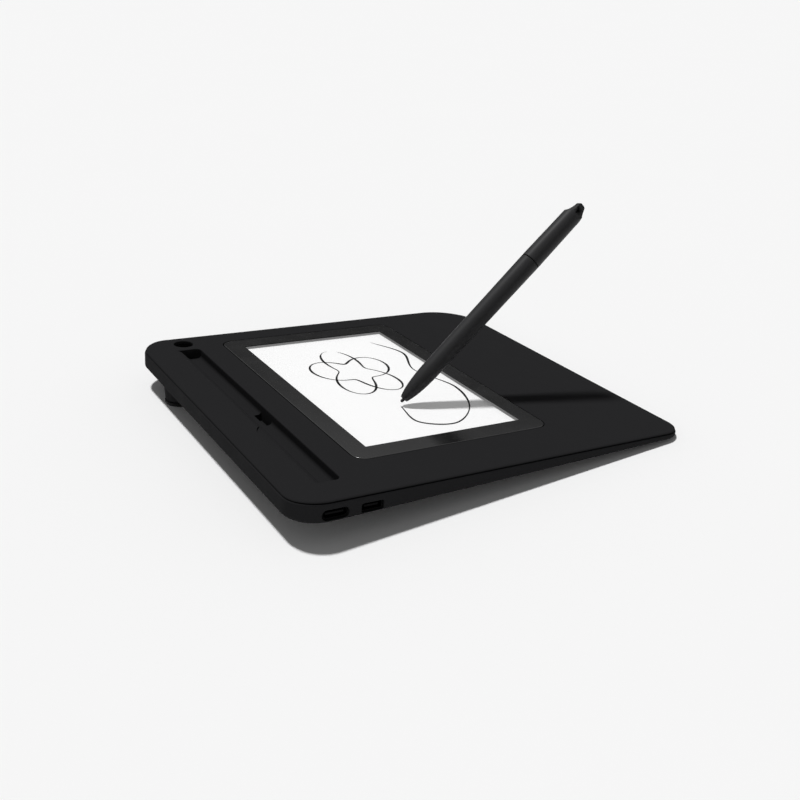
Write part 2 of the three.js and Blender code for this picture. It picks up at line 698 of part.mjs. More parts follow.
const sockets = [
  [POWER_SOCKET_Y, POWER_SOCKET_WIDTH, POWER_SOCKET_HEIGHT, POWER_SOCKET_CORNER],
  [DATA_SOCKET_Y, DATA_SOCKET_WIDTH, DATA_SOCKET_HEIGHT, DATA_SOCKET_CORNER],
];

const boardScrews = [
  [BOARD_LEFT + BOARD_SCREW_INSET, BOARD_WIDE_REAR_Y - BOARD_SCREW_INSET],
  [BOARD_LEFT + BOARD_SCREW_INSET, BOARD_WIDE_FRONT_Y + BOARD_SCREW_INSET],
];

function bottomCover() {
  const seam = (y) => -TOP_EDGE_THICK - SEAM_GAP - roll(y);
  const wallHeight = (y) => seam(y) - BAND_DROP - underside(y);
  const rings = [];
  for (let step = 0; step <= EDGE_STEPS; step++) {
    const angle = ((step / EDGE_STEPS) * Math.PI) / 2;
    const inset = UNDER_ROUND * (1 - Math.sin(angle));
    const rise = UNDER_ROUND_share * (1 - Math.cos(angle));
    rings.push(roundedRing(outline, inset, (y) => underside(y) + rise * wallHeight(y)));
  }
  for (let step = 0; step <= EDGE_STEPS; step++) {
    const angle = ((step / EDGE_STEPS) * Math.PI) / 2;
    const inset = SEAM_INSET * (1 - Math.cos(angle));
    const drop = BAND_DROP * (1 - Math.sin(angle));
    rings.push(roundedRing(outline, inset, (y) => seam(y) - drop));
  }
  const belly = ringStack([
    roundedRing(bellyOutline, 0, bellyUnderside),
    roundedRing(bellyOutline, -BELLY_SLOPE, (y) => underside(y) + BOTTOM_WALL / 2),
  ]);
  const recess = ringStack([
    roundedRing({ ...outline, front: LID_RECESS_FRONT_Y - SIDE_WALL }, SIDE_WALL, (y) => {
      return -TOP_PLATE - FIT - roll(y);
    }),
    roundedRing({ ...outline, front: LID_RECESS_FRONT_Y - SIDE_WALL }, SIDE_WALL, () => OVERRUN),
  ]);
  const cavityOutline = { ...outline, front: CAVITY_FRONT_Y - SIDE_WALL };
  const cavity = ringStack([
    roundedRing(cavityOutline, SIDE_WALL + FIT, (y) => underside(y) + BOTTOM_WALL),
    roundedRing(cavityOutline, SIDE_WALL + FIT, () => 0),
  ]);
  const bellyCavity = ringStack([
    roundedRing(bellyOutline, BOTTOM_WALL, (y) => bellyUnderside(y) + BOTTOM_WALL),
    roundedRing(bellyOutline, BOTTOM_WALL, () => -TOP_PLATE - FIT),
  ]);
  const legs = [
    [REAR_FOOT_X, RIGHT_FOOT_Y],
    [-REAR_FOOT_X, LEFT_FOOT_Y],
  ];
  const hollow = cut(join(ringStack(rings), belly), recess, cavity, bellyCavity);
  const feet = legs.map(([x, y]) => {
    const height = underside(y) + BOTTOM_WALL / 2 - ground(y);
    return solidOf(standing(rod(0, 0, LEG_RADIUS, SHOE_THICK + FIT, height, ROUND_STEPS), x, y));
  });
  const bosses = screws.map((screw) =>
    rod(screw.x, screw.y, BOSS_RADIUS, screw.seat - BOTTOM_WALL / 2, screw.seat + BOSS_THICK),
  );
  const boardBosses = boardScrews.map(([x, y]) =>
    rod(x, y, BOARD_BOSS_RADIUS, bellyUnderside(y) + BOTTOM_WALL / 2, BOARD_BOTTOM - STACK_FIT),
  );
  const ribFront = DISPLAY_Y - DIGITIZER_HEIGHT / 2 + RIB_END_INSET;
  const ribs = [-1, 0, 1].map((place) => {
    const x = DISPLAY_X + place * RIB_SPACING;
    const rib = new THREE.Shape();
    const ribRear = DISPLAY_Y + DIGITIZER_HEIGHT / 2 - RIB_END_INSET;
    rib.moveTo(ribFront, bellyUnderside(ribFront) + BOTTOM_WALL / 2);
    rib.lineTo(ribRear, bellyUnderside(ribRear) + BOTTOM_WALL / 2);
    rib.lineTo(ribRear, RIB_TOP);
    rib.lineTo(ribFront, RIB_TOP);
    const sheet = new THREE.ExtrudeGeometry(rib, { depth: RIB_THICK, bevelEnabled: false });
    return sheet.rotateY(Math.PI / 2).rotateX(Math.PI / 2).translate(x - RIB_THICK / 2, 0, 0);
  });
  const wellBore = WELL_RADIUS + CUP_WALL + FIT;
  const flangeBottom = -TOP_PLATE - FIT - CUP_FLANGE_THICK;
  const wellBoss = rod(
    WELL_X,
    WELL_Y,
    wellBore + WELL_BOSS_WALL,
    -WELL_BOSS_DEPTH,
    flangeBottom - FIT,
    ROUND_STEPS,
  );
  const additions = [...bosses, ...boardBosses, ...ribs, wellBoss];
  let whole = additions.reduce((sum, piece) => sum.add(solidOf(piece)), hollow);
  whole = feet.reduce((sum, foot) => sum.add(foot), whole);
  const cuts = [
    rod(WELL_X, WELL_Y, wellBore, -WELL_BOSS_DEPTH - OVERRUN, OVERRUN, ROUND_STEPS),
    rod(WELL_X, WELL_Y, WELL_RADIUS + CUP_WALL + CUP_FLANGE + FIT, flangeBottom - FIT, 0, ROUND_STEPS),
    ...sockets.map(([y, width, height, corner]) =>
      socketOpening(y, width, height, corner, FIT, -HALF_WIDTH - OVERRUN, SOCKET_END_X + FIT),
    ),
    ...screws.flatMap((screw) => [
      rod(
        screw.x,
        screw.y,
        SCREW_HEAD_RADIUS + FIT,
        bellyUnderside(screw.y) - OVERRUN,
        screw.seat,
      ),
      rod(screw.x, screw.y, SCREW_SHANK_RADIUS + PILOT_CLEARANCE, screw.seat - OVERRUN, 0),
    ]),
    ...boardScrews.map(([x, y]) => {
      const depth = BOARD_SCREW_LENGTH + FIT;
      return rod(x, y, BOARD_SCREW_SHANK + PILOT_CLEARANCE, BOARD_BOTTOM - depth, 0);
    }),
    ...[-1, 1].map((side) => {
      const seat = rod(0, 0, FRONT_FOOT_RADIUS + FIT, 0, frontFootTop() + FIT, ROUND_STEPS);
      return standing(seat, side * FRONT_FOOT_X, FRONT_FOOT_Y);
    }),
    ...legs.map(([x, y]) => {
      const top = SHOE_THICK + SHOE_STEM_LENGTH + FIT;
      return standing(rod(0, 0, SHOE_STEM_RADIUS + FIT, 0, top), x, y);
    }),
  ];
  return cut(whole, ...cuts).subtract(grooveSolid(GROOVE_SHELL + FIT));
}

function frontFootTop() {
  return FRONT_STANDOFF + FRONT_FOOT_SEAT;
}

function shoe() {
  const profile = [[0, 0]];
  for (let step = 0; step <= EDGE_STEPS; step++) {
    const angle = ((step / EDGE_STEPS) * Math.PI) / 2;
    profile.push([SHOE_RADIUS - SHOE_ROUND * (1 - Math.sin(angle)), SHOE_ROUND * (1 - Math.cos(angle))]);
  }
  profile.push([SHOE_RADIUS, SHOE_THICK], [SHOE_STEM_RADIUS, SHOE_THICK]);
  profile.push([SHOE_STEM_RADIUS, SHOE_THICK + SHOE_STEM_LENGTH], [0, SHOE_THICK + SHOE_STEM_LENGTH]);
  return turned(profile);
}

function frontFoot() {
  const profile = [[0, 0]];
  for (let step = 0; step <= EDGE_STEPS; step++) {
    const angle = ((step / EDGE_STEPS) * Math.PI) / 2;
    const inset = SHOE_ROUND * (1 - Math.sin(angle));
    profile.push([FRONT_FOOT_RADIUS - inset, SHOE_ROUND * (1 - Math.cos(angle))]);
  }
  profile.push([FRONT_FOOT_RADIUS, frontFootTop()], [0, frontFootTop()]);
  return turned(profile);
}

function screwShape(headRadius, headThick, shankRadius, seat, tip) {
  const profile = [
    [0, seat - headThick],
    [headRadius, seat - headThick],
    [headRadius, seat - PILOT_CLEARANCE],
    [shankRadius, seat - PILOT_CLEARANCE],
    [shankRadius, tip - shankRadius],
    [0, tip],
  ];
  const drive = [
    [SCREW_DRIVE_LENGTH, SCREW_DRIVE_WIDTH],
    [SCREW_DRIVE_WIDTH, SCREW_DRIVE_LENGTH],
  ].map(([width, length]) => {
    const floor = seat - headThick;
    return block(-width / 2, width / 2, -length / 2, length / 2, floor - OVERRUN, floor + SCREW_DRIVE_DEPTH);
  });
  return cut(solidOf(turned(profile, SMALL_STEPS)), ...drive);
}

// A thin ribbon bent along a curve in the plane across the pad
function ribbon(width, y, from, to) {
  const sag = new THREE.CubicBezierCurve(
    from,
    new THREE.Vector2((from.x + to.x) / 2, from.y),
    new THREE.Vector2((from.x + to.x) / 2, to.y),
    to,
  );
  const lower = sag.getPoints(RAMP_STEPS);
  const upper = lower.map((p) => new THREE.Vector2(p.x, p.y + RIBBON_THICK)).reverse();
  const sheet = new THREE.ExtrudeGeometry(new THREE.Shape([...lower, ...upper]), {
    depth: width,
    bevelEnabled: false,
  });
  return sheet.rotateX(Math.PI / 2).translate(0, y + width / 2, 0);
}

function addPlate(pad, name, width, height, top, thick, look) {
  const corner = BOARD_CORNER;
  const steps = INNER_CORNER_STEPS;
  const plate = roundedBlock(DISPLAY_X, DISPLAY_Y, width, height, corner, top - thick, top, steps);
  addPiece(pad, name, plate, look);
}

function addDisplay(pad) {
  addPiece(
    pad,
    "cover_glass",
    roundedBlock(DISPLAY_X, DISPLAY_Y, GLASS_WIDTH, GLASS_HEIGHT, GLASS_CORNER, -GLASS_THICK, 0),
    "glass",
  );
  const gasketTop = -GLASS_THICK - STACK_FIT;
  const frame = roundedBlock(
    DISPLAY_X,
    DISPLAY_Y,
    GLASS_WIDTH - 2 * GASKET_INSET,
    GLASS_HEIGHT - 2 * GASKET_INSET,
    GLASS_CORNER - GASKET_INSET,
    gasketTop - GASKET_THICK,
    gasketTop,
    INNER_CORNER_STEPS,
  );
  const opening = roundedBlock(
    DISPLAY_X,
    DISPLAY_Y,
    TRAY_WIDTH + 2 * TRAY_CLEARANCE,
    TRAY_HEIGHT + 2 * TRAY_CLEARANCE,
    TRAY_CORNER + TRAY_CLEARANCE,
    gasketTop - OVERRUN,
    OVERRUN,
    INNER_CORNER_STEPS,
  );
  addPiece(pad, "glass_gasket", cut(solidOf(frame), opening), "gasket");
  const trayBody = roundedBlock(
    DISPLAY_X,
    DISPLAY_Y,
    TRAY_WIDTH,
    TRAY_HEIGHT,
    TRAY_CORNER,
    TRAY_BOTTOM,
    TRAY_TOP,
    INNER_CORNER_STEPS,
  );
  const innerWidth = TRAY_WIDTH - 2 * TRAY_SHEET;
  const innerHeight = TRAY_HEIGHT - 2 * TRAY_SHEET;
  const trayHollow = roundedBlock(
    DISPLAY_X,
    DISPLAY_Y,
    innerWidth,
    innerHeight,
    TRAY_CORNER - TRAY_SHEET,
    TRAY_BOTTOM + TRAY_SHEET,
    OVERRUN,
    INNER_CORNER_STEPS,
  );
  addPiece(pad, "display_tray", cut(solidOf(trayBody), trayHollow), "steel");
  const sheet = (name, top, thick, look) => {
    const [width, height] = [innerWidth - 2 * FIT, innerHeight - 2 * FIT];
    addPlate(pad, name, width, height, top, thick, look);
  };
  const guideTop = TRAY_BOTTOM + TRAY_SHEET + STACK_FIT + GUIDE_THICK;
  sheet("display_panel", TRAY_TOP, PANEL_THICK, "panel");
  sheet("light_guide", guideTop, GUIDE_THICK, "clear");
  const digitizer = [DIGITIZER_WIDTH, DIGITIZER_HEIGHT, DIGITIZER_TOP, DIGITIZER_THICK];
  addPlate(pad, "digitizer_board", ...digitizer, "circuit");
  const shieldWidth = DIGITIZER_WIDTH - 2 * SHIELD_INSET;
  const shieldHeight = DIGITIZER_HEIGHT - 2 * SHIELD_INSET;
  addPlate(pad, "shield_plate", shieldWidth, shieldHeight, SHIELD_TOP, SHIELD_THICK, "steel");
}

function addElectronics(pad) {
  const side = block(
    -HALF_WIDTH + SIDE_WALL + 2 * FIT,
    GROOVE_LEFT - GROOVE_SHELL - BOARD_GROOVE_GAP,
    BOARD_SIDE_FRONT_Y,
    BOARD_SIDE_REAR_Y,
    BOARD_BOTTOM,
    BOARD_TOP,
  );
  const wide = block(
    BOARD_LEFT,
    BOARD_RIGHT,
    BOARD_WIDE_FRONT_Y,
    BOARD_WIDE_REAR_Y,
    BOARD_BOTTOM,
    BOARD_TOP,
  );
  const notches = sockets.map(([y, width]) =>
    block(
      -HALF_WIDTH,
      SOCKET_END_X + FIT,
      y - width / 2 - FIT,
      y + width / 2 + FIT,
      BOARD_BOTTOM - OVERRUN,
      0,
    ),
  );
  const holes = boardScrews.map(([x, y]) =>
    rod(x, y, BOARD_SCREW_SHANK + PILOT_CLEARANCE, BOARD_BOTTOM - OVERRUN, 0),
  );
  addPiece(pad, "main_board", cut(join(side, wide), ...notches, ...holes), "circuit");
  const seat = BOARD_TOP + STACK_FIT;
  // The components stand in one row from the board's front edge to the back
  const digitizerPlugY = BOARD_WIDE_FRONT_Y + COMPONENT_GAP + DIGITIZER_PLUG_WIDTH / 2;
  const memoryY = digitizerPlugY + DIGITIZER_PLUG_WIDTH / 2 + COMPONENT_GAP + MEMORY_LENGTH / 2;
  const chipY = memoryY + MEMORY_LENGTH / 2 + COMPONENT_GAP + CHIP_SIZE / 2;
  const displayPlugY = chipY + CHIP_SIZE / 2 + COMPONENT_GAP + DISPLAY_PLUG_WIDTH / 2;
  const inductorY = displayPlugY + DISPLAY_PLUG_WIDTH / 2 + COMPONENT_GAP + INDUCTOR_RADIUS;
  const onBoard = (name, width, length, y, thick) => {
    const [left, right] = [BOARD_MID_X - width / 2, BOARD_MID_X + width / 2];
    addPiece(pad, name, block(left, right, y - length / 2, y + length / 2, seat, seat + thick), "chip");
  };
  onBoard("processor_chip", CHIP_SIZE, CHIP_SIZE, chipY, CHIP_THICK);
  onBoard("memory_chip", MEMORY_WIDTH, MEMORY_LENGTH, memoryY, CHIP_THICK);
  const coil = rod(BOARD_MID_X, inductorY, INDUCTOR_RADIUS, seat, seat + INDUCTOR_HEIGHT);
  addPiece(pad, "power_inductor", coil, "ferrite");
  const plugRight = BOARD_RIGHT - PLUG_INSET;
  const ribbons = [
    ["display", DISPLAY_PLUG_WIDTH, displayPlugY, DISPLAY_X - TRAY_WIDTH / 2, TRAY_BOTTOM],
    ["digitizer", DIGITIZER_PLUG_WIDTH, digitizerPlugY, DIGITIZER_LEFT, DIGITIZER_TOP - DIGITIZER_THICK],
  ];
  ribbons.forEach(([kind, width, y, edge, bottom]) => {
    const [front, rear] = [y - width / 2, y + width / 2];
    const plug = block(plugRight - PLUG_DEPTH, plugRight, front, rear, seat, seat + PLUG_HEIGHT);
    addPiece(pad, `${kind}_connector`, plug, "plug");
    const from = new THREE.Vector2(plugRight + FIT, seat + FIT);
    const to = new THREE.Vector2(edge - FIT, bottom + RIBBON_THICK / 2);
    addPiece(pad, `${kind}_ribbon`, ribbon(width - 2 * RIBBON_TRIM, y, from, to), "ribbon");
  });
  boardScrews.forEach(([x, y], i) => {
    const profile = [
      [0, BOARD_BOTTOM - BOARD_SCREW_LENGTH],
      [BOARD_SCREW_SHANK, BOARD_BOTTOM - BOARD_SCREW_LENGTH],
      [BOARD_SCREW_SHANK, seat],
      [BOARD_SCREW_HEAD, seat],
      [BOARD_SCREW_HEAD, seat + BOARD_SCREW_HEAD_THICK],
      [0, seat + BOARD_SCREW_HEAD_THICK],
    ];
    addPiece(pad, `board_screw_${i + 1}`, turned(profile, SMALL_STEPS).translate(x, y, 0), "screw");
  });
}

function addSockets(pad) {
  sockets.forEach(([y, width, height, corner], i) => {
    const name = ["power_socket", "data_socket"][i];
    const outer = socketOpening(y, width, height, corner, 0, SOCKET_MOUTH_X, SOCKET_END_X);
    const hollow = socketOpening(
      y,
      width,
      height,
      corner,
      -SOCKET_SHEET,
      SOCKET_MOUTH_X - OVERRUN,
      SOCKET_END_X - SOCKET_SHEET,
    );
    addPiece(pad, `${name}_shell`, cut(solidOf(outer), hollow), "steel");
    const inner = SOCKET_SHEET + STACK_FIT;
    const backRight = SOCKET_END_X - SOCKET_SHEET - STACK_FIT;
    const back = socketOpening(y, width, height, corner, -inner, backRight - SOCKET_BACK, backRight);
    const halfTongue = width / 2 - inner - TONGUE_SIDE_GAP;
    const tongue = block(
      backRight - SOCKET_BACK - TONGUE_LENGTH,
      backRight - SOCKET_BACK / 2,
      y - halfTongue,
      y + halfTongue,
      -SOCKET_DEPTH - TONGUE_THICK / 2,
      -SOCKET_DEPTH + TONGUE_THICK / 2,
    );
    addPiece(pad, `${name}_tongue`, join(back, tongue), "chip");
  });
}

function wellCup() {
  const outer = WELL_RADIUS + CUP_WALL;
  const top = -TOP_PLATE - FIT;
  const flange = top - CUP_FLANGE_THICK;
  const floor = CUP_WALL - CUP_DEPTH;
  const profile = [
    [0, -CUP_DEPTH],
    [outer, -CUP_DEPTH],
    [outer, flange],
    [outer + CUP_FLANGE, flange],
    [outer + CUP_FLANGE, top],
    [WELL_RADIUS, top],
    [WELL_RADIUS, floor + CUP_CONE_DEPTH],
    [0, floor],
  ];
  return turned(profile).translate(WELL_X, WELL_Y, 0);
}

// Pen outline radius at a distance from the tip
function penRadius(s) {
  if (s < NOSE_LENGTH) {
    const back = 1 - s / NOSE_LENGTH;
    return NOSE_RADIUS * Math.sqrt(1 - back * back);
  }
  if (s < SEAM_AT) {
    const t = (s - NOSE_LENGTH) / (SEAM_AT - NOSE_LENGTH);
    return NOSE_RADIUS + (SEAM_RADIUS - NOSE_RADIUS) * t;
  }
  const t = (s - SEAM_AT) / (SHOULDER_AT - SEAM_AT);
  return SEAM_RADIUS + (SHOULDER_RADIUS - SEAM_RADIUS) * t;
}

function penBarrel() {
  const profile = [];
  const bore = NIB_RADIUS + NIB_BORE_CLEARANCE;
  const steps = NOSE_STEPS;
  profile.push([bore, NOSE_START]);
  for (let step = 0; step <= steps; step++) {
    const t = step / steps;
    const s = NOSE_START + (NOSE_LENGTH - NOSE_START) * t * t;
    profile.push([penRadius(s), s]);
  }
  const end = SEAM_AT - PEN_SEAM_GAP / 2;
  const socket = SEAM_AT - SPIGOT_LENGTH - FIT;
  profile.push([penRadius(end), end], [SOCKET_BORE_RADIUS + FIT, end]);
  profile.push([SOCKET_BORE_RADIUS + FIT, socket], [CHAMBER_RADIUS, socket]);
  profile.push([CHAMBER_RADIUS, CHAMBER_START + BARREL_WALL], [bore, CHAMBER_START]);
  profile.push([bore, NOSE_START]);
  return turned(profile);
}

// The tail cap ends in a flattened blade pierced by the lanyard eye
function penTailCap() {
  const start = SEAM_AT + PEN_SEAM_GAP / 2;
  const spigot = SEAM_AT - SPIGOT_LENGTH;
  const profile = [
    [0, spigot],
    [SPIGOT_RADIUS, spigot],
    [SPIGOT_RADIUS, start],
    [penRadius(start), start],
    [SHOULDER_RADIUS, SHOULDER_AT],
    [SHOULDER_RADIUS, PEN_LENGTH],
    [0, PEN_LENGTH],
  ];
  const reach = SHOULDER_RADIUS + OVERRUN;
  // Side view of the blade: a flat slope above, a hollow one below
  const side = new THREE.Shape();
  side.moveTo(-reach, spigot - OVERRUN);
  side.lineTo(reach, spigot - OVERRUN);
  side.lineTo(reach, SHOULDER_AT);
  side.lineTo(SHOULDER_RADIUS, SHOULDER_AT);
  side.lineTo(TAIL_BLADE_HALF, PEN_LENGTH - TAIL_BLADE_HALF);
  side.absarc(0, PEN_LENGTH - TAIL_BLADE_HALF, TAIL_BLADE_HALF, 0, Math.PI);
  side.lineTo(-TAIL_BLADE_HALF, TAIL_BLADE_START);
  const below = TAIL_BELOW_START;
  side.quadraticCurveTo(-TAIL_BLADE_HALF, below + TAIL_BLADE_HALF, -SHOULDER_RADIUS, below);
  side.lineTo(-reach, TAIL_BELOW_START);
  const thickness = new THREE.ExtrudeGeometry(side, {
    depth: 2 * reach,
    bevelEnabled: false,
    curveSegments: CORNER_STEPS,
  });
  thickness.translate(0, 0, -reach).rotateY(Math.PI / 2).rotateX(Math.PI / 2);
  // Front view: hollow sides that close in to a round end
  const face = new THREE.Shape();
  const tipCentre = PEN_LENGTH - TAIL_TIP_RADIUS;
  face.moveTo(-reach, spigot - OVERRUN);
  face.lineTo(reach, spigot - OVERRUN);
  face.lineTo(reach, SHOULDER_AT - SHOULDER_RADIUS / 2);
  face.lineTo(SHOULDER_RADIUS, SHOULDER_AT);
  face.quadraticCurveTo(TAIL_WAIST, PEN_LENGTH - TAIL_WAIST_LENGTH, TAIL_TIP_RADIUS, tipCentre);
  face.absarc(0, tipCentre, TAIL_TIP_RADIUS, 0, Math.PI);
  face.quadraticCurveTo(-TAIL_WAIST, PEN_LENGTH - TAIL_WAIST_LENGTH, -SHOULDER_RADIUS, SHOULDER_AT);
  face.lineTo(-reach, SHOULDER_AT - SHOULDER_RADIUS / 2);
  const width = new THREE.ExtrudeGeometry(face, {
    depth: 2 * reach,
    bevelEnabled: false,
    curveSegments: CORNER_STEPS,
  });
  width.translate(0, 0, -reach).rotateX(Math.PI / 2);
  const eye = new THREE.Shape();
  const half = (EYE_LENGTH - EYE_WIDTH) / 2;
  eye.absarc(0, EYE_AT + half, EYE_WIDTH / 2, 0, Math.PI);
  eye.absarc(0, EYE_AT - half, EYE_WIDTH / 2, Math.PI, 2 * Math.PI);
  const hole = new THREE.ExtrudeGeometry(eye, {
    depth: 2 * reach,
    bevelEnabled: false,
    curveSegments: CORNER_STEPS,
  });
  hole.translate(0, 0, -reach).rotateX(Math.PI / 2);
  const turn = THREE.MathUtils.degToRad(TAIL_TURN);
  return solidOf(turned(profile))
    .intersect(solidOf(thickness.rotateZ(turn)))
    .intersect(solidOf(width.rotateZ(turn)))
    .subtract(solidOf(hole.rotateZ(turn)));
}

class SpringCurve extends THREE.Curve {
  getPoint(t, target = new THREE.Vector3()) {
    const angle = t * SPRING_TURNS * 2 * Math.PI;
    const height = SPRING_WIRE + t * (SPRING_LENGTH - 2 * SPRING_WIRE);
    return target.set(SPRING_RADIUS * Math.cos(angle), SPRING_RADIUS * Math.sin(angle), height);
  }
}

function springWire() {
  const section = new THREE.Shape();
  section.absarc(0, 0, SPRING_WIRE / 2, 0, 2 * Math.PI);
  return new THREE.ExtrudeGeometry(section, {
    steps: SPRING_TURNS * SPRING_STEPS_PER_TURN,
    extrudePath: new SpringCurve(),
    curveSegments: WIRE_SIDES,
    bevelEnabled: false,
  });
}

function addPen(parent) {
  const pen = new THREE.Group();
  addPiece(pen, "pen_barrel", penBarrel(), "pen");
  addPiece(pen, "pen_tail_cap", penTailCap(), "pen");
  const nib = [[0, 0]];
  for (let step = 1; step <= EDGE_STEPS; step++) {
    const angle = ((step / EDGE_STEPS) * Math.PI) / 2;
    nib.push([NIB_RADIUS * Math.sin(angle), NIB_RADIUS * (1 - Math.cos(angle))]);
  }
  nib.push([NIB_RADIUS, NIB_LENGTH], [0, NIB_LENGTH]);
  addPiece(pen, "pen_nib", turned(nib, SMALL_STEPS), "nib");
  addPiece(pen, "nib_holder", rod(0, 0, HOLDER_RADIUS, HOLDER_START, SPRING_START), "nib");
  addPiece(pen, "nib_spring", springWire().translate(0, 0, SPRING_START), "steel");
  const tube = (inner, outer, start, end) =>
    turned([
      [inner, start],
      [outer, start],
      [outer, end],
      [inner, end],
      [inner, start],
    ]);
  const coreEnd = CORE_START + CORE_LENGTH;
  const coreBore = NIB_RADIUS + CORE_BORE_CLEARANCE;
  addPiece(pen, "ferrite_core", tube(coreBore, CORE_RADIUS, CORE_START, coreEnd), "ferrite");
  const coilInner = CORE_RADIUS + STACK_FIT;
  const coil = tube(coilInner, coilInner + COIL_THICK, CORE_START + COIL_INSET, coreEnd - COIL_INSET);
  addPiece(pen, "sensing_coil", coil, "copper");
  const plate = block(
    -PEN_BOARD_WIDTH / 2,
    PEN_BOARD_WIDTH / 2,
    -PEN_BOARD_THICK / 2,
    PEN_BOARD_THICK / 2,
    PEN_BOARD_START,
    PEN_BOARD_START + PEN_BOARD_LENGTH,
  );
  const stop = rod(0, 0, HOLDER_RADIUS, PEN_BOARD_START, PEN_BOARD_START + PEN_PLUG_LENGTH);
  addPiece(pen, "pen_board", join(plate, stop), "circuit");
  pen.rotation.set(THREE.MathUtils.degToRad(PEN_LEAN), 0, THREE.MathUtils.degToRad(PEN_YAW), "ZXY");
  pen.position.set(PEN_X, PEN_Y, PEN_CLEARANCE);
  parent.add(pen);
}

const pad = new THREE.Group();
addPiece(pad, "top_cover", topCover(), "case");
addPiece(pad, "bottom_cover", bottomCover(), "case");
addDisplay(pad);
addElectronics(pad);
addSockets(pad);
addPiece(pad, "pen_well_cup", wellCup(), "case");
screws.forEach((screw, i) => {
  const shape = screwShape(SCREW_HEAD_RADIUS, SCREW_HEAD_THICK, SCREW_SHANK_RADIUS, screw.seat, screw.tip);
  addPiece(pad, `case_screw_${i + 1}`, geometryOf(shape).translate(screw.x, screw.y, 0), "screw");
});
[
  ["front_foot_right", FRONT_FOOT_X, FRONT_FOOT_Y, frontFoot()],
  ["front_foot_left", -FRONT_FOOT_X, FRONT_FOOT_Y, frontFoot()],
  ["rear_foot_right", REAR_FOOT_X, RIGHT_FOOT_Y, shoe()],
  ["rear_foot_left", -REAR_FOOT_X, LEFT_FOOT_Y, shoe()],
].forEach(([name, x, y, shape]) => addPiece(pad, name, standing(shape, x, y), "rubber"));
addPen(pad);

// Tilts the pad as it stands and puts the origin under the middle of its outer box
pad.rotation.x = TILT_ANGLE;
pad.updateMatrixWorld(true);
const box = new THREE.Box3().setFromObject(pad, true);
const middle = box.getCenter(new THREE.Vector3());
pad.position.set(-middle.x, -middle.y, -box.min.z);

const signaturePad = new THREE.Group();
signaturePad.add(pad);

export default signaturePad;
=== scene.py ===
"""Looks of a counter-top signature pad and its pen, built round the packed frame.

Shapes are worked out in millimetres in the pad's own frame, where X runs to the user's right, Y away from
the user and zero height is the top face. The pad stands tilted, and placed() turns a shape into the frame.
"""

import json
import math
from types import SimpleNamespace

import bmesh
import bpy
import numpy as np
from mathutils import Matrix, Vector


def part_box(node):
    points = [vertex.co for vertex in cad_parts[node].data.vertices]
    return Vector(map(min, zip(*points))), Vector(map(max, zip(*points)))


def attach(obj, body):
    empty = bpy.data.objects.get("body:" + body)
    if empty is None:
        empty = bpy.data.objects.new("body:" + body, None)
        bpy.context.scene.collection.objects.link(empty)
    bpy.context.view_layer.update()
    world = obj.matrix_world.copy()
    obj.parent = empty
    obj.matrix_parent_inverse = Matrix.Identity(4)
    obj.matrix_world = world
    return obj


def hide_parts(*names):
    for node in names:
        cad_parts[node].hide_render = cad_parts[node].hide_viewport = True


bl_info = {
    "name": "Signature pad",
    "version": (1, 0, 0),
    "blender": (4, 5, 0),
    "location": "3D View > Sidebar > Signature pad",
    "description": "Covers, display, sockets, feet, pen and studio of a counter-top signature pad",
    "category": "Object",
}

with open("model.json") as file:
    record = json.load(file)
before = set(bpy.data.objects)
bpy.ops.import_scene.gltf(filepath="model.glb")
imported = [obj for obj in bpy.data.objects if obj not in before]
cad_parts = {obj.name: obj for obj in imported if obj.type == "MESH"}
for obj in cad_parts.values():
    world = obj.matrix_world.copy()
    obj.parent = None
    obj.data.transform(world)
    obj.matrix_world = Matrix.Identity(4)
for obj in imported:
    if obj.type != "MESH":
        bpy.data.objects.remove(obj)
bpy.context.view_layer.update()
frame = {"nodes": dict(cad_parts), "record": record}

# Sides of round bodies, from large to small
ROUND = 96
SMOOTH = 64
COARSE = 48
SMALL = 40

# Millimetres: least radius of a corner, radius at the groove's rear, and how far a cutting body overshoots
LEAST_CORNER = 0.05
REAR_CORNER = 0.2
ABOVE = 2.0

# Edges bent more than this stay sharp
SHARP = math.radians(30)

# Steps of a rolled plate, and how they crowd towards its edge
STEPS = 12
STEP_POWER = 0.8

# Places along X and Y in millimetres
SCREWS = ((66.0, 74.35), (74.2, 30.0), (60.0, -40.0))
BOARD_BOSSES = ((-68.55, 53.2), (-68.55, 0.6))
RIBS = (-30, 6, 42)
WAVE = ((51, -17), (34, -24), (14, -18), (-8, -24), (-28, -18), (-40, -4), (-34, 9))

# Sockets as name, y, width, height and corner radius
SOCKETS = (("power_socket", 66.6, 9.0, 3.3, 1.6), ("data_socket", 53.5, 7.6, 2.9, 0.6))
SOCKET_HEIGHT = -4.8
SOCKET_RECESS = 0.8
SOCKET_LENGTH = 7.4
SOCKET_SHEET = 0.3

# Height of a mirrored ray, and how bright the studio is there
DOME = ((0.355, 0.05), (0.38, 0.4), (0.41, 0.6), (0.6, 0.75))

# Size in millimetres of the drifts of gloss, and how far the roughness drifts
CLOUD = 14
WANDER = 0.06


# Settings


def linear(code):
    """Linear red, green and blue of an sRGB hex colour."""
    s = np.array([int(code[i : i + 2], 16) for i in (1, 3, 5)]) / 255
    return tuple(np.where(s <= 0.04045, s / 12.92, ((s + 0.055) / 1.055) ** 2.4))


def length(mm, text):
    return bpy.props.FloatProperty(description=text, default=mm / 1000, unit="LENGTH", precision=5)


def angle(degrees, text):
    return bpy.props.FloatProperty(description=text, default=math.radians(degrees), unit="ROTATION")


def number(value, text):
    return bpy.props.FloatProperty(description=text, default=value, min=0)


def colour(code, text):
    return vector(linear(code), text, min=0, max=1, subtype="COLOR")


def vector(values, text, **kind):
    return bpy.props.FloatVectorProperty(description=text, default=values, **kind)


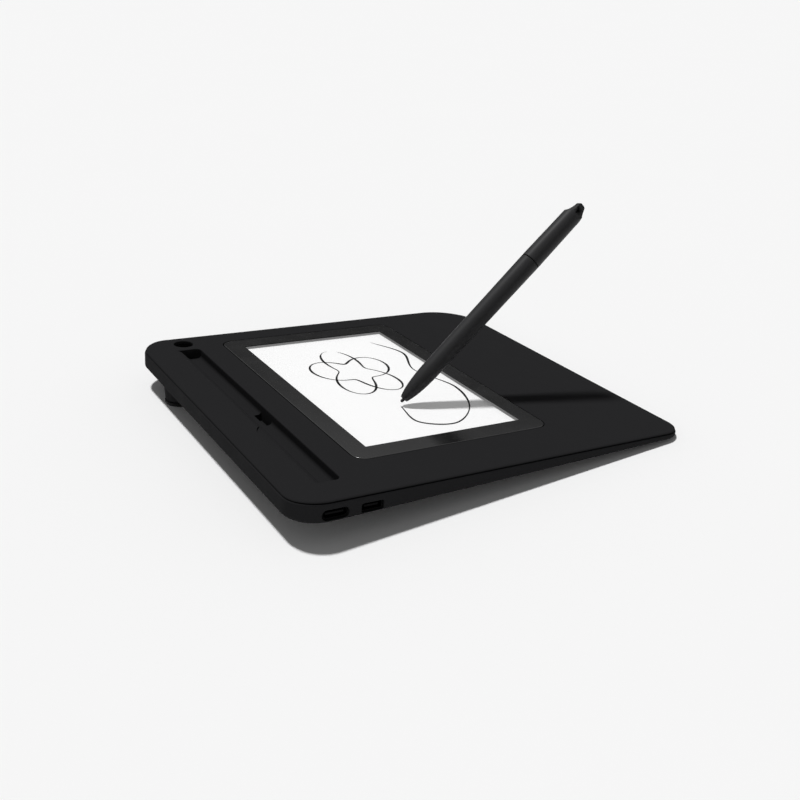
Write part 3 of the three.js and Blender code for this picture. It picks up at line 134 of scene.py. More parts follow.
def named(group):
    """Names each setting of a group after its identifier, so that edge_round shows as Edge round."""
    for name, setting in group.__annotations__.items():
        setting.keywords["name"] = name.replace("_", " ").capitalize()
    return group


# In each group the settings come first, then the fixed lengths in millimetres that fit its pieces together


@named
class CaseSizes(bpy.types.PropertyGroup):
    """Lengths of the two covers"""

    half_width: length(80.1, "Half of the pad's width")
    front: length(-82.1, "Place of the front edge")
    rear: length(80.2, "Place of the back edge")
    rear_corner: length(12, "Radius of the back corners from above")
    front_left: length(8.5, "Radius of the front left corner from above")
    front_right: length(21, "Radius of the front right corner from above")
    edge_round: length(0.9, "Width of the rounding of the upper edge")
    front_depth: length(2.3, "Depth of the rim at the front")
    rear_depth: length(8.1, "Depth of the rim at the back")
    roll_length: length(10, "Length over which the top rolls down at the back")
    roll_drop: length(0.85, "How far the back edge rolls down")
    plate: length(1.5, "Thickness of the top plate")
    wall: length(2.4, "Thickness of the side wall")
    floor: length(1.2, "Thickness of the bottom")
    belly_front_depth: length(5.7, "Depth of the belly at its front")
    belly_rear_depth: length(10.5, "Depth of the belly at its back")

    fit = 0.3
    edge_depth = 0.5
    seam_inset = 0.4
    seam_gap = 0.4
    band_drop = 0.5
    under_round = 1.4
    under_share = 0.22
    belly_half_width = 73.0
    belly_front = -44.0
    belly_rear = 70.0
    belly_corner = 8.0
    belly_slope = 3.0
    belly_foot_width = 1.0
    belly_foot_rise = 0.7
    recess_front = -74.0
    cavity_front = -58.0
    collar_wall = 1.6
    collar_depth = 2.9
    mouth_round = 0.25
    rib_half = 0.6
    rib_reach = 34.4
    rib_depth = 4.7
    rib_foot = 11.0
    board_boss_radius = 2.0
    board_boss_depth = 5.55


@named
class DisplaySizes(bpy.types.PropertyGroup):
    """Lengths of the cover glass and the picture"""

    x: length(6, "Middle of the display across the pad")
    y: length(6.4, "Middle of the display along the pad")
    width: length(126.4, "Width of the cover glass")
    height: length(81.5, "Height of the cover glass from front to back")
    corner: length(5, "Radius of the glass's corners")
    thick: length(1.1, "Thickness of the cover glass")
    picture_width: length(108, "Width of the lit picture")
    picture_height: length(64.8, "Height of the lit picture")

    polish = 0.3
    under_polish = 0.15
    ledge = 1.65
    window_width = 121.9
    window_height = 77.0
    window_corner = 2.1
    print_margin = 0.55
    lit_margin = 3.0
    ink_depth = 0.11
    ink_thick = 0.02
    ink_thin_width = 0.5
    ink_full_width = 1.05


@named
class GrooveSizes(bpy.types.PropertyGroup):
    """Lengths of the pen groove, its scoop and slot, and the pen well"""

    left: length(-67, "Left end of the groove")
    right: length(64.5, "Right end of the groove")
    wall: length(58.3, "Place of the upright wall, and the front of the small slot")
    ramp: length(62.6, "Where the ramp leaves the floor")
    rear: length(70.2, "Where the ramp meets the top face")
    depth: length(3.95, "Depth of the groove")
    scoop_x: length(-29.5, "Middle of the finger scoop across the pad")
    scoop_rear: length(70.4, "Back end of the finger scoop")
    scoop_radius: length(18, "Radius of the finger scoop")
    well_x: length(71.9, "Middle of the pen well across the pad")
    well_y: length(62.7, "Middle of the pen well along the pad")
    well_radius: length(4, "Inner radius of the pen well")

    power = 4.0
    toe = 1.4
    corner = 2.0
    lip = 0.4
    shell = 1.4
    scoop_rim = 0.3
    scoop_fall = 0.22
    slot_left = -11.7
    slot_right = -1.5
    slot_rear = 61.1
    slot_floor = 6.15
    cup_wall = 1.0
    cup_flange = 0.7
    cup_depth = 13.3
    cup_cone = 2.5
    cup_round = 0.6
    flange_thick = 1.0
    collar_wall = 1.0
    collar_foot = 11.0


@named
class FootSizes(bpy.types.PropertyGroup):
    """Lengths of the feet and screws"""

    standoff: length(1.4, "Height of the rim's underside over a front foot's ground")
    front_x: length(62, "Distance of the front feet from the middle")
    front_y: length(-72, "Place of the front feet along the pad")
    front_radius: length(6, "Radius of the front feet")
    rear_x: length(49, "Distance of the rear feet from the middle")
    right_y: length(71.3, "Place of the right rear foot along the pad")
    left_y: length(59.3, "Place of the left rear foot along the pad")
    leg_radius: length(6.7, "Radius of the rear legs")
    shoe_radius: length(6.95, "Radius of the rubber shoes")
    shoe_thick: length(1.5, "Thickness of the rubber shoes")
    head_radius: length(1.8, "Radius of the case screws' heads")

    front_top = 1.75
    leg_round = 0.5
    shoe_round = 0.7
    shoe_edge = 0.2
    stem_radius = 2.0
    stem_length = 2.6
    head_thick = 1.1
    crown_width = 0.5
    crown_rise = 0.3
    recess_long = 1.1
    recess_short = 0.25
    recess_depth = 0.6
    recess_corner = 0.12
    tip_depth = 1.3
    shank_radius = 0.9
    shank_fit = 0.15
    counterbore = 1.5
    post_radius = 2.3
    boss_radius = 2.6
    boss_gap = 0.1


@named
class PenSizes(bpy.types.PropertyGroup):
    """Lengths of the pen, measured along its axis from the writing tip"""

    x: length(-18.6, "Place of the writing tip across the pad")
    y: length(7.7, "Place of the writing tip along the pad")
    gap: length(0.5, "Gap between tip and glass")
    nose: length(18, "Length of the tapered nose")
    nose_radius: length(3.6, "Radius where the nose ends")
    seam: length(76, "Where the tail cap meets the barrel")
    seam_radius: length(4.06, "Radius at the seam")
    shoulder: length(101, "Where the tail's slopes begin")
    shoulder_radius: length(3.83, "Radius at the shoulder")
    total: length(108, "Length of the whole pen")
    tip_radius: length(1.7, "Radius of the tail's round end")
    eye_length: length(3.4, "Length of the lanyard eye")
    eye_width: length(1.7, "Width of the lanyard eye")
    nib_radius: length(0.65, "Radius of the nib")

    start = 1.6
    mouth_bevel = 0.1
    prism_reach = 8.0
    seam_gap = 0.35
    seam_round = 0.15
    seam_step = 0.12
    spigot = 6.0
    spigot_fit = 0.3
    spigot_radius = 2.9
    spigot_end_radius = 2.7
    spigot_bevel = 0.2
    socket_radius = 3.3
    bore = 2.6
    bore_start = 11.9
    nib_seat = 11.0
    nib_fit = 0.15
    nib_length = 22.0
    blade_half = 1.15
    blade_start = 105.4
    hollow_start = 99.4
    waist = 2.3
    waist_at = 102.4
    eye_at = 104.1
    bevel = 0.16


@named
class Angles(bpy.types.PropertyGroup):
    """Angles at which the pad and the pen stand"""

    tilt: angle(4.74, "How far the pad's back is raised")
    lean: angle(48, "How far the pen leans towards the user")
    yaw: angle(2.67, "How far the pen is turned sideways")
    tail: angle(75, "How far the tail's flat is turned about the pen")


@named
class Finishes(bpy.types.PropertyGroup):
    """Colours of the surfaces and size of their grain"""

    case: colour("#252526", "Moulded case plastic")
    pen: colour("#2a2a2b", "Moulded pen plastic")
    nib: colour("#151516", "Hard black nib plastic")
    border: colour("#0c0c0d", "Print behind the glass")
    screen: colour("#fbfbfb", "Lit display")
    ink: colour("#0d0d0e", "Strokes drawn on the display")
    rubber: colour("#171718", "Feet")
    steel: colour("#b9bcc0", "Stamped and drawn steel")
    screw: colour("#3a3b3d", "Blackened steel of the screws")
    # The socket shells' colour is painted shade: near-black so that the socket openings look dark
    oxide: colour("#161617", "Near-black painted shade on the socket shells")
    circuit: colour("#1d4a30", "Solder mask")
    track: colour("#2f6b45", "Tracks under the solder mask")
    chip: colour("#0e0e0f", "Moulded epoxy")
    ferrite: colour("#3d3e42", "Sintered ferrite")
    plug: colour("#e6e1d3", "Moulded nylon of the connectors")
    ribbon: colour("#8a5a1e", "Polyimide film")
    gasket: colour("#101011", "Adhesive foam")
    clear: colour("#e8eef2", "Clear acrylic of the light guide")
    copper: colour("#b4703a", "Enamelled winding")
    floor: colour("#f9f9f9", "Studio floor")
    grain: length(0.45, "Grain of the case's moulded texture")


@named
class Studio(bpy.types.PropertyGroup):
    """Camera and light"""

    camera: vector((-0.3296825, 0.201882, 0.149905), "Place of the camera over the pad", unit="LENGTH")
    view: vector((0.78675, -0.45713, -0.41480), "Direction of the view", subtype="DIRECTION")
    lens: number(46.37, "Focal length on a 36 mm sensor, in millimetres")
    lamp: vector((0.382, 0.12, 1), "Direction towards the lamp from the pad", subtype="DIRECTION")
    key: number(0.8, "Share of the light that comes from the lamp")
    key_size: angle(6, "Angle that the lamp fills, which softens the shadows")
    ambient: number(0.12, "Brightness of the studio overhead")
    walls: number(0.6, "Brightness of the studio near the horizon")
    floor_size: length(12000, "Side of the floor")


GROUPS = (CaseSizes, DisplaySizes, GrooveSizes, FootSizes, PenSizes, Angles, Finishes, Studio)


def settings(group):
    """The scene's settings of one group."""
    return getattr(bpy.context.scene, "pad_" + group.__name__.lower())


def mm(group):
    """The lengths of one group in millimetres, the settings and the fixed ones."""
    values = settings(group)
    fixed = {name: value for name, value in vars(group).items() if isinstance(value, float)}
    chosen = {name: 1000 * getattr(values, name) for name in group.__annotations__}
    return SimpleNamespace(**fixed, **chosen)


# Shapes


def rounded(left, right, front, rear, corner, inset=0.0, steps=24, front_left=None, front_right=None):
    """Loops of rectangles with round corners, anticlockwise, as arrays of x and of y.

    Each corner is a quarter circle c + r (cos a, sin a), where r is the corner's radius less the inset and
    c lies r inside both sides. Every value may be an array with one number per loop. The front corners take
    the common radius where they have none of their own.
    """
    own = [corner if radius is None else radius for radius in (front_left, front_right)]
    values = (left, right, front, rear, corner, *own, inset)
    l, r, f, b, bc, lc, rc, i = np.broadcast_arrays(*(np.asarray(v, float) for v in values))
    radius = np.maximum(np.stack([bc, bc, lc, rc], -1) - i[..., None], LEAST_CORNER)
    x = np.stack([r - i, l + i, l + i, r - i], -1) + np.array([-1, 1, 1, -1]) * radius
    y = np.stack([b - i, b - i, f + i, f + i], -1) + np.array([-1, -1, 1, 1]) * radius
    turn = (np.arange(4)[:, None] + np.linspace(0, 1, steps + 1)) * math.pi / 2
    x = x[..., None] + radius[..., None] * np.cos(turn)
    y = y[..., None] + radius[..., None] * np.sin(turn)
    return x.reshape(*x.shape[:-2], -1), y.reshape(*y.shape[:-2], -1)


def rings(x, y, z):
    """Rings of points from arrays of x, y and z that broadcast to (levels, points of a ring)."""
    return np.stack(np.broadcast_arrays(x, y, z), -1)


def body(points, wrap=False):
    """A closed body through rings of points: quads between neighbouring rings and a face on each end ring.

    With wrap, the last ring joins the first, as on a ring-shaped body.
    """
    levels, count = points.shape[:2]
    i = np.arange(levels * count).reshape(levels, count)
    up = np.roll(i, -1, 0) if wrap else i[1:]
    low = i if wrap else i[:-1]
    faces = np.stack([low, np.roll(low, -1, 1), np.roll(up, -1, 1), up], -1).reshape(-1, 4).tolist()
    if not wrap:
        faces += [i[0][::-1].tolist(), i[-1].tolist()]
    return points.reshape(-1, 3), faces


def turned(profile, steps=SMOOTH, wrap=False):
    """A body turned about the upright axis: (r cos a, r sin a, h) over the profile's (r, h) and a turn."""
    profile = np.asarray(profile, float)
    a = np.arange(steps) * 2 * math.pi / steps
    r, h = profile[:, :1], profile[:, 1:]
    return body(rings(r * np.cos(a), r * np.sin(a), h), wrap)


def rod(x, y, radius, bottom, top, steps=COARSE):
    """A round rod between two heights: one circle carried upwards."""
    return moved(turned([(0, bottom), (radius, bottom), (radius, top), (0, top)], steps), (x, y, 0))


def quarter(radius_x, radius_z, steps=8):
    """Insets and rises of a quarter ellipse: (rx (1 - sin a), rz (1 - cos a)), a up to a right angle."""
    a = np.linspace(0, math.pi / 2, steps + 1)
    return radius_x * (1 - np.sin(a)), radius_z * (1 - np.cos(a))


def moved(shape, offset):
    """A shape whose points are shifted by an offset."""
    return shape[0] + np.asarray(offset, float), shape[1]


def mapped(shape, matrix, offset=(0, 0, 0)):
    """A shape whose points p become M p + offset, with its faces turned round where M mirrors."""
    matrix = np.asarray(matrix, float)
    points = shape[0] @ matrix.T + np.asarray(offset, float)
    return points, [f[::-1] for f in shape[1]] if np.linalg.det(matrix) < 0 else shape[1]


def turn_x(a):
    """The matrix that turns by a about X."""
    return np.array([[1, 0, 0], [0, math.cos(a), -math.sin(a)], [0, math.sin(a), math.cos(a)]])


def turn_z(a):
    """The matrix that turns by a about Z."""
    return np.array([[math.cos(a), -math.sin(a), 0], [math.sin(a), math.cos(a), 0], [0, 0, 1]])


def scratch(name, shape):
    """An object of a shape, its coincident points merged so that poles and seams are closed."""
    mesh = bpy.data.meshes.new(name)
    mesh.from_pydata(shape[0].tolist(), [], shape[1])
    work = bmesh.new()
    work.from_mesh(mesh)
    bmesh.ops.remove_doubles(work, verts=work.verts, dist=1e-4)
    bmesh.ops.dissolve_degenerate(work, edges=work.edges, dist=1e-4)
    work.to_mesh(mesh)
    work.free()
    thing = bpy.data.objects.new(name, mesh)
    bpy.context.scene.collection.objects.link(thing)
    return thing


def shape_of(mesh):
    """Points and faces of a mesh."""
    points = np.empty(len(mesh.vertices) * 3)
    mesh.vertices.foreach_get("co", points)
    corners = np.empty(len(mesh.loops), int)
    mesh.loops.foreach_get("vertex_index", corners)
    starts = np.empty(len(mesh.polygons), int)
    mesh.polygons.foreach_get("loop_start", starts)
    return points.reshape(-1, 3), [f.tolist() for f in np.split(corners, starts[1:])]


def plus(*shapes):
    """Carving steps that add shapes."""
    return [("UNION", shape) for shape in shapes]


def less(*shapes):
    """Carving steps that take shapes away."""
    return [("DIFFERENCE", shape) for shape in shapes]


def carved(base, *steps):
    """A shape after each (operation, other shape) in turn: UNION, DIFFERENCE or INTERSECT."""
    host = scratch("carving", base)
    tools = []
    for operation, other in steps:
        tool = scratch("tool", other)
        tools.append(tool)
        step = host.modifiers.new("step", "BOOLEAN")
        step.operation, step.object, step.solver = operation, tool, "MANIFOLD"
    graph = bpy.context.evaluated_depsgraph_get()
    made = bpy.data.meshes.new_from_object(host.evaluated_get(graph))
    result = shape_of(made)
    bpy.data.meshes.remove(made)
    for thing in [host, *tools]:
        mesh = thing.data
        bpy.data.objects.remove(thing)
        bpy.data.meshes.remove(mesh)
    if not len(result[0]):
        raise RuntimeError("a carving step left nothing")
    return result


def pad_place():
    """Turn and offset from the pad's own frame to the object's, read off where the cover glass stands."""
    d = mm(DisplaySizes)
    turn = turn_x(settings(Angles).tilt)
    low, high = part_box("cover_glass")
    middle = np.array((low + high) / 2) * 1000
    return turn, middle - turn @ np.array([d.x, d.y, -d.thick / 2])


def placed(shape):
    """A shape from the pad's own frame in millimetres to the object's frame in metres."""
    turn, offset = pad_place()
    return mapped(shape, turn / 1000, offset / 1000)


def on_pen(shape):
    """A shape from the pen's own frame, its axis upright and its tip at zero, to the object's frame."""
    p, a = mm(PenSizes), settings(Angles)
    return placed(mapped(shape, turn_z(a.yaw) @ turn_x(a.lean), (p.x, p.y, p.gap)))


def piece(name, shape, material, rides, replaces, bevel=0.0):
    """Adds a finished piece, smooth but for edges past the sharp angle, its normals weighted by area."""
    thing = scratch(name, (shape[0] * 1000, shape[1]))
    mesh = thing.data
    points = shape_of(mesh)[0] / 1000
    mesh.vertices.foreach_set("co", points.ravel())
    mesh.shade_smooth()
    mesh.set_sharp_from_angle(angle=SHARP)
    mesh.materials.append(material)
    if bevel:
        edge = thing.modifiers.new("worn edges", "BEVEL")
        edge.width, edge.segments, edge.limit_method = bevel / 1000, 3, "ANGLE"
        edge.angle_limit, edge.use_clamp_overlap, edge.harden_normals = SHARP, True, False
    thing.modifiers.new("even shading", "WEIGHTED_NORMAL").keep_sharp = True
    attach(thing, rides)
    if replaces:
        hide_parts(*replaces)
    return thing


# The two covers


def underside(y):
    """Height of the rim's underside, a straight slope from front to rear."""
    c = mm(CaseSizes)
    return -c.front_depth - (y - c.front) * (c.rear_depth - c.front_depth) / (c.rear - c.front)


def belly_underside(y):
    """Height of the belly's underside, a straight slope of its own."""
    c = mm(CaseSizes)
    pitch = (c.belly_rear_depth - c.belly_front_depth) / (c.belly_rear - c.belly_front)
    return -c.belly_front_depth - (y - c.belly_front) * pitch


def roll(y):
    """How far the top has rolled down: drop ((y - y0) / length)^2 past y0, where the roll starts."""
    c = mm(CaseSizes)
    return c.roll_drop * np.maximum(0, (y - c.rear + c.roll_length) / c.roll_length) ** 2


def ground(y):
    """Height of the ground under a place of the pad: a plane at the pad's tilt."""
    f = mm(FootSizes)
    return underside(f.front_y) - f.standoff - (y - f.front_y) * math.tan(settings(Angles).tilt)


def outline(**changes):
    """Sides and corner radii of the pad's outline from above."""
    c = mm(CaseSizes)
    sides = dict(left=-c.half_width, right=c.half_width, front=c.front, rear=c.rear)
    corners = dict(corner=c.rear_corner, front_left=c.front_left, front_right=c.front_right)
    return {**sides, **corners, **changes}


def rolled(box, insets, heights):
    """A plate that follows the roll at the back: loops at each inset, z = height - roll(y).

    Its upper and lower faces step inwards from the edge to where the roll ends, and stay flat from there.
    """
    c = mm(CaseSizes)
    inner = np.linspace(1, 0, STEPS, endpoint=False) ** STEP_POWER
    first = insets[0] + (c.roll_length - insets[0]) * inner
    last = insets[-1] + (c.roll_length - insets[-1]) * inner[::-1]
    insets = np.concatenate([first, insets, last])
    heights = np.concatenate([np.full(STEPS, heights[0]), heights, np.full(STEPS, heights[-1])])
    x, y = rounded(**box, inset=insets)
    return body(rings(x, y, heights[:, None] - roll(y)))


def groove(shell=0.0, lip=0.0, top=ABOVE):
    """The groove as level loops: at t the ramp lies at ramp + t (rear - ramp), D (1 - t)^n (1 + n t) deep.

    The wall's foot is a quarter circle, and the lip widens the loop by r (1 - cos) as it nears the top.
    The front corners are at most 0.6 of the loop's depth, and shell grows the groove outwards.
    """
    g = mm(GrooveSizes)
    t = np.linspace(0, 1, 40) ** 1.2
    n = g.power
    rise = np.append(g.depth * (1 - (1 - t) ** n * (1 + n * t)), top + g.depth + shell)
    t = np.append(t, 1)
    z = rise - g.depth - shell
    foot = np.clip(1 - rise / g.toe, 0, 1)
    front = g.wall - shell + g.toe * (1 - np.sqrt(1 - foot**2))
    near = np.clip((z + g.lip) / g.lip, 0, 1) if lip else np.zeros_like(z)
    wide = lip * (1 - np.sqrt(1 - near**2))
    rear = g.ramp + (g.rear - g.ramp) * t
    corner = np.minimum(g.corner, 0.6 * (rear - front))
    sides = (g.left - shell - wide, g.right + shell + wide, front - wide, rear)
    x, y = rounded(*sides, REAR_CORNER, steps=12, front_left=corner + wide, front_right=corner + wide)
    return body(rings(x, y, z[:, None]))


def scoop():
    """The finger scoop: a round disc over a flat floor at height -(rim + fall (rear - y))."""
    g = mm(GrooveSizes)
    disc = rod(g.scoop_x, g.scoop_rear - g.scoop_radius, g.scoop_radius, -g.depth, ABOVE, 240)
    reach = g.scoop_radius + ABOVE
    sides = (g.scoop_x - reach, g.scoop_x + reach, g.ramp, g.scoop_rear + ABOVE)
    points, faces = block(*sides, -g.depth, ABOVE)
    floor = -g.scoop_rim - g.scoop_fall * (g.scoop_rear - points[:, 1])
    points[:, 2] = np.where(points[:, 2] < 0, floor, points[:, 2])
    return carved(disc, ("INTERSECT", (points, faces)))


def block(left, right, front, rear, bottom, top, corner=0.4):
    """A block with round upright edges: one loop carried upwards."""
    x, y = rounded(left, right, front, rear, corner, steps=6)
    return body(rings(x, y, np.array([[bottom], [top]])))


def slab(half_width, half_height, corner, insets, heights):
    """A plate over the display's middle: loops of a rounded rectangle at each inset and height."""
    d = mm(DisplaySizes)
    sides = (d.x - half_width, d.x + half_width, d.y - half_height, d.y + half_height)
    x, y = rounded(*sides, corner, np.asarray(insets, float), steps=16)
    return body(rings(x, y, np.asarray(heights, float)[:, None]))


def screw_places():
    """Place, head's seat and tip of the six case screws, left side first."""
    f = mm(FootSizes)
    made = []
    for side in (-1, 1):
        for (x, y), foot, sunk in zip(SCREWS, (underside, underside, belly_underside), (1, 0, 1)):
            made.append((side * x, y, foot(y) + sunk * f.counterbore, -f.tip_depth - float(roll(y))))
    return made


def rear_feet():
    """Places of the rear feet, the right one first."""
    f = mm(FootSizes)
    return (f.rear_x, f.right_y), (-f.rear_x, f.left_y)


def on_ground(profile, x, y, steps=ROUND):
    """A body turned from a profile that stands upright on the ground under a place of the pad."""
    return mapped(turned(profile, steps), turn_x(-settings(Angles).tilt), (x, y, ground(y)))


def seat_on_ground(radius, top, x, y, steps):
    """A round block that stands on the ground and reaches up to a height over it."""
    return on_ground([(0, 0), (radius, 0), (radius, top), (0, top)], x, y, steps)


def slot_block(grow, top):
    """The small slot at the wall's foot, grown outwards and downwards."""
    g = mm(GrooveSizes)
    sides = (g.slot_left - grow, g.slot_right + grow, g.wall - grow, g.slot_rear + grow)
    return block(*sides, -g.slot_floor - grow, top)


def top_cover_shape():
    """The top cover: a rolled plate with a quarter round edge, lid, collar and posts, less its openings."""
    c, d, g, f = mm(CaseSizes), mm(DisplaySizes), mm(GrooveSizes), mm(FootSizes)
    a = np.linspace(0, math.pi / 2, 13)
    edge = c.seam_inset + c.edge_round * (1 - np.cos(a))
    plate = rolled(outline(), edge, c.edge_depth * (np.sin(a) - 1))
    lid_box = outline(front=c.recess_front - c.wall)
    lid = rolled(lid_box, np.full(2, c.wall + c.fit), np.array([-c.plate, -c.edge_depth / 2]))
    x, y = d.width / 2 + c.fit, d.height / 2 + c.fit
    corner = d.corner + c.fit
    collar_sides = (x + c.collar_wall, y + c.collar_wall, corner + c.collar_wall)
    collar = slab(*collar_sides, [0, 0], [-c.collar_depth, -c.edge_depth])
    flare = np.linspace(0, 1, 5)
    mouth = -c.mouth_round * (1 - np.sqrt(1 - flare**2))
    insets = np.concatenate([[0], mouth, mouth[-1:]])
    pocket = slab(x, y, corner, insets, np.concatenate([[-d.ledge], c.mouth_round * (flare - 1), [ABOVE]]))
    window_sides = (d.window_width / 2, d.window_height / 2, d.window_corner)
    window = slab(*window_sides, [0, 0], [-c.collar_depth - ABOVE, ABOVE])
    lip = np.linspace(0, math.pi / 2, 7)
    well = [(0, -c.plate - ABOVE), (g.well_radius, -c.plate - ABOVE)]
    well += list(zip(g.well_radius + g.lip * (1 - np.cos(lip)), g.lip * (np.sin(lip) - 1)))
    well += [(g.well_radius + g.lip, ABOVE), (0, ABOVE)]
    under = -c.edge_depth - float(roll(g.rear))
    steps = plus(lid, collar, slot_block(g.shell, -c.plate), groove(g.shell, top=under))
    for x, y, seat, tip in screw_places():
        foot = seat + c.floor - f.boss_gap + c.fit
        steps += plus(rod(x, y, f.post_radius, foot, -c.edge_depth - float(roll(y))))
    steps += less(pocket, window, slot_block(0, -c.plate))
    steps += less(moved(turned(well, ROUND), (g.well_x, g.well_y, 0)))
    for x, y, seat, tip in screw_places():
        steps += less(rod(x, y, f.shank_radius + f.shank_fit, seat - ABOVE, tip + f.shank_fit))
    return carved(plate, *steps, *less(groove(lip=g.lip), scoop()))


def socket_loop(width, height, corner, grow, places, y):
    """A socket's outline carried along X: loops of a rounded rectangle in the side wall's plane."""
    grow = np.asarray(grow, float)
    half_width, half_height = width / 2 + grow, height / 2 + grow
    across, up = rounded(-half_width, half_width, -half_height, half_height, corner + grow, steps=10)
    return body(rings(np.asarray(places, float)[:, None], y + across, up + SOCKET_HEIGHT))


def rim_shape():
    """The rim: loops with a rounded foot, a band under the seam, and a flat step inwards over it."""
    c = mm(CaseSizes)
    a = np.linspace(0, math.pi / 2, 9)
    insets = np.concatenate([c.under_round * (1 - np.sin(a)), c.seam_inset * (1 - np.cos(a))])
    inner = 1 - np.linspace(1, 0, STEPS + 1)[1:] ** STEP_POWER
    inner = c.seam_inset + (c.roll_length - c.seam_inset) * inner
    x, y = rounded(**outline(), inset=np.concatenate([insets, inner]))
    seam = -c.edge_depth - c.seam_gap - roll(y)
    low = underside(y)
    count = len(a)
    foot = c.under_share * (1 - np.cos(a))[:, None]
    lower = low[:count] + foot * (seam - c.band_drop - low)[:count]
    drop = np.concatenate([c.band_drop * (1 - np.sin(a)), np.zeros(len(inner))])[:, None]
    return body(rings(x, y, np.concatenate([lower, seam[count:] - drop])))


def hollow_shape(box, inset, foot, top):
    """A hollow with upright walls between two heights, both given as functions of y."""
    x, y = rounded(**box, inset=np.full(2, inset))
    return body(rings(x, y, np.stack([foot(y[0]), 0 * y[1] + top])))


def belly_shapes():
    """The belly under the display, a bowl with sloping sides, and its hollow."""
    c = mm(CaseSizes)
    half = c.belly_half_width
    box = dict(left=-half, right=half, front=c.belly_front, rear=c.belly_rear, corner=c.belly_corner)
    inset, rise = quarter(c.belly_foot_width, c.belly_foot_rise, 6)
    x, y = rounded(**box, inset=np.append(inset, -c.belly_slope))
    z = belly_underside(y) + np.append(rise, 0)[:, None]
    z[-1] = underside(y[-1]) + c.floor / 2
    hollow = hollow_shape(box, c.floor, lambda y: belly_underside(y) + c.floor, -c.plate - c.fit)
    return body(rings(x, y, z)), hollow


def rib_shape(x):
    """A rib under the display: a block whose foot follows the belly's underside."""
    c, d = mm(CaseSizes), mm(DisplaySizes)
    sides = (x - c.rib_half, x + c.rib_half, d.y - c.rib_reach, d.y + c.rib_reach)
    points, faces = block(*sides, -c.rib_foot, -c.rib_depth, LEAST_CORNER)
    foot = belly_underside(points[:, 1]) + c.floor / 2
    points[:, 2] = np.where(points[:, 2] < -c.rib_depth, foot, points[:, 2])
    return points, faces


def bottom_cover_shape():
    """The bottom cover: rim and belly, hollowed, with its legs, bosses and ribs, less its openings."""
    c, g, f = mm(CaseSizes), mm(GrooveSizes), mm(FootSizes)
    belly, hollow = belly_shapes()
    seat_box = outline(front=c.recess_front - c.wall)
    recess = rolled(seat_box, np.full(2, c.wall), np.array([-c.plate - c.fit, ABOVE]))
    cavity_box = outline(front=c.cavity_front - c.wall)
    cavity = hollow_shape(cavity_box, c.wall + c.fit, lambda y: underside(y) + c.floor, 0)
    steps = plus(belly) + less(recess, cavity, hollow)
    for x, y in rear_feet():
        height = underside(y) + c.floor / 2 - ground(y)
        inset, rise = quarter(f.leg_round, f.leg_round, 5)
        low = f.shoe_thick + c.fit
        profile = [(0, low), *zip(f.leg_radius - inset, low + rise), (f.leg_radius, height), (0, height)]
        steps += plus(on_ground(profile, x, y))
    for x, y, seat, _ in screw_places():
        steps += plus(rod(x, y, f.boss_radius, seat - c.floor / 2, seat + c.floor - f.boss_gap))
    for x, y in BOARD_BOSSES:
        steps += plus(rod(x, y, c.board_boss_radius, belly_underside(y) + c.floor / 2, -c.board_boss_depth))
    steps += plus(*(rib_shape(x) for x in RIBS))
    well = (g.well_x, g.well_y)
    bore = g.well_radius + g.cup_wall + c.fit
    flange = -c.plate - c.fit - g.flange_thick - c.fit
    steps += plus(rod(*well, bore + g.collar_wall, -g.collar_foot, flange, ROUND))
    steps += less(rod(*well, bore, -g.collar_foot - ABOVE, ABOVE, ROUND))
    steps += less(rod(*well, bore + g.cup_flange, flange, 0, ROUND))
    for _, y, width, height, corner in SOCKETS:
        ends = [-c.half_width - ABOVE, -c.half_width + SOCKET_RECESS + SOCKET_LENGTH + c.fit]
        steps += less(socket_loop(width, height, corner, [c.fit, c.fit], ends, y))
    for x, y, seat, _ in screw_places():
        steps += less(rod(x, y, f.head_radius + c.fit, belly_underside(y) - ABOVE, seat))
        steps += less(rod(x, y, f.shank_radius + f.shank_fit, seat - ABOVE, 0))
    for x in (-f.front_x, f.front_x):
        steps += less(seat_on_ground(f.front_radius + c.fit, f.front_top + c.fit, x, f.front_y, SMOOTH))
    for x, y in rear_feet():
        height = f.shoe_thick + f.stem_length + c.fit
        steps += less(seat_on_ground(f.stem_radius + c.fit, height, x, y, COARSE))
    return carved(rim_shape(), *steps, *less(groove(g.shell + c.fit)))


# Materials


def add(tree, kind, inputs=None, **values):
    """Adds one shader node: values are its settings, inputs its sockets' numbers or what feeds them."""
    made = tree.nodes.new("ShaderNode" + kind)
    for name, value in values.items():
        setattr(made, name, value)
    for name, value in (inputs or {}).items():
        if isinstance(value, bpy.types.NodeSocket):
            tree.links.new(value, made.inputs[name])
        else:
            made.inputs[name].default_value = value
    return made


def here(tree):
    """The place on the object, in metres."""
    return add(tree, "TexCoord").outputs["Object"]


def noise(tree, where, size, detail=1.0, roughness=0.5):
    """Noise whose features are of a size in millimetres."""
    inputs = {"Vector": where, "Scale": 1000 / size, "Detail": detail, "Roughness": roughness}
    return add(tree, "TexNoise", inputs).outputs["Fac"]


def mix(tree, share, first, second):
    """Colours blended by a share."""
    return add(tree, "Mix", {0: share, 6: first, 7: second}, data_type="RGBA").outputs[2]


def spread(tree, value, start, end, low, high):
    """A value's range carried over to another one."""
    return add(tree, "MapRange", {"Value": value, 1: start, 2: end, 3: low, 4: high}).outputs[0]


def work_out(tree, operation, *values):
    """The result of a calculation."""
    return add(tree, "Math", dict(enumerate(values)), operation=operation).outputs[0]


def node_based(kind, name, build, shader="BsdfPrincipled", output="OutputMaterial"):
    """A new material or world whose shader takes the sockets that build(tree) gives."""
    made = kind.new(name)
    made.use_nodes = True
    tree = made.node_tree
    tree.nodes.clear()
    add(tree, output, {"Surface": add(tree, shader, build(tree)).outputs[0]})
    return made


def rgba(value, share=1.0):
    """A colour times a share, with full alpha."""
    return (*(min(1.0, c * share) for c in value), 1.0)


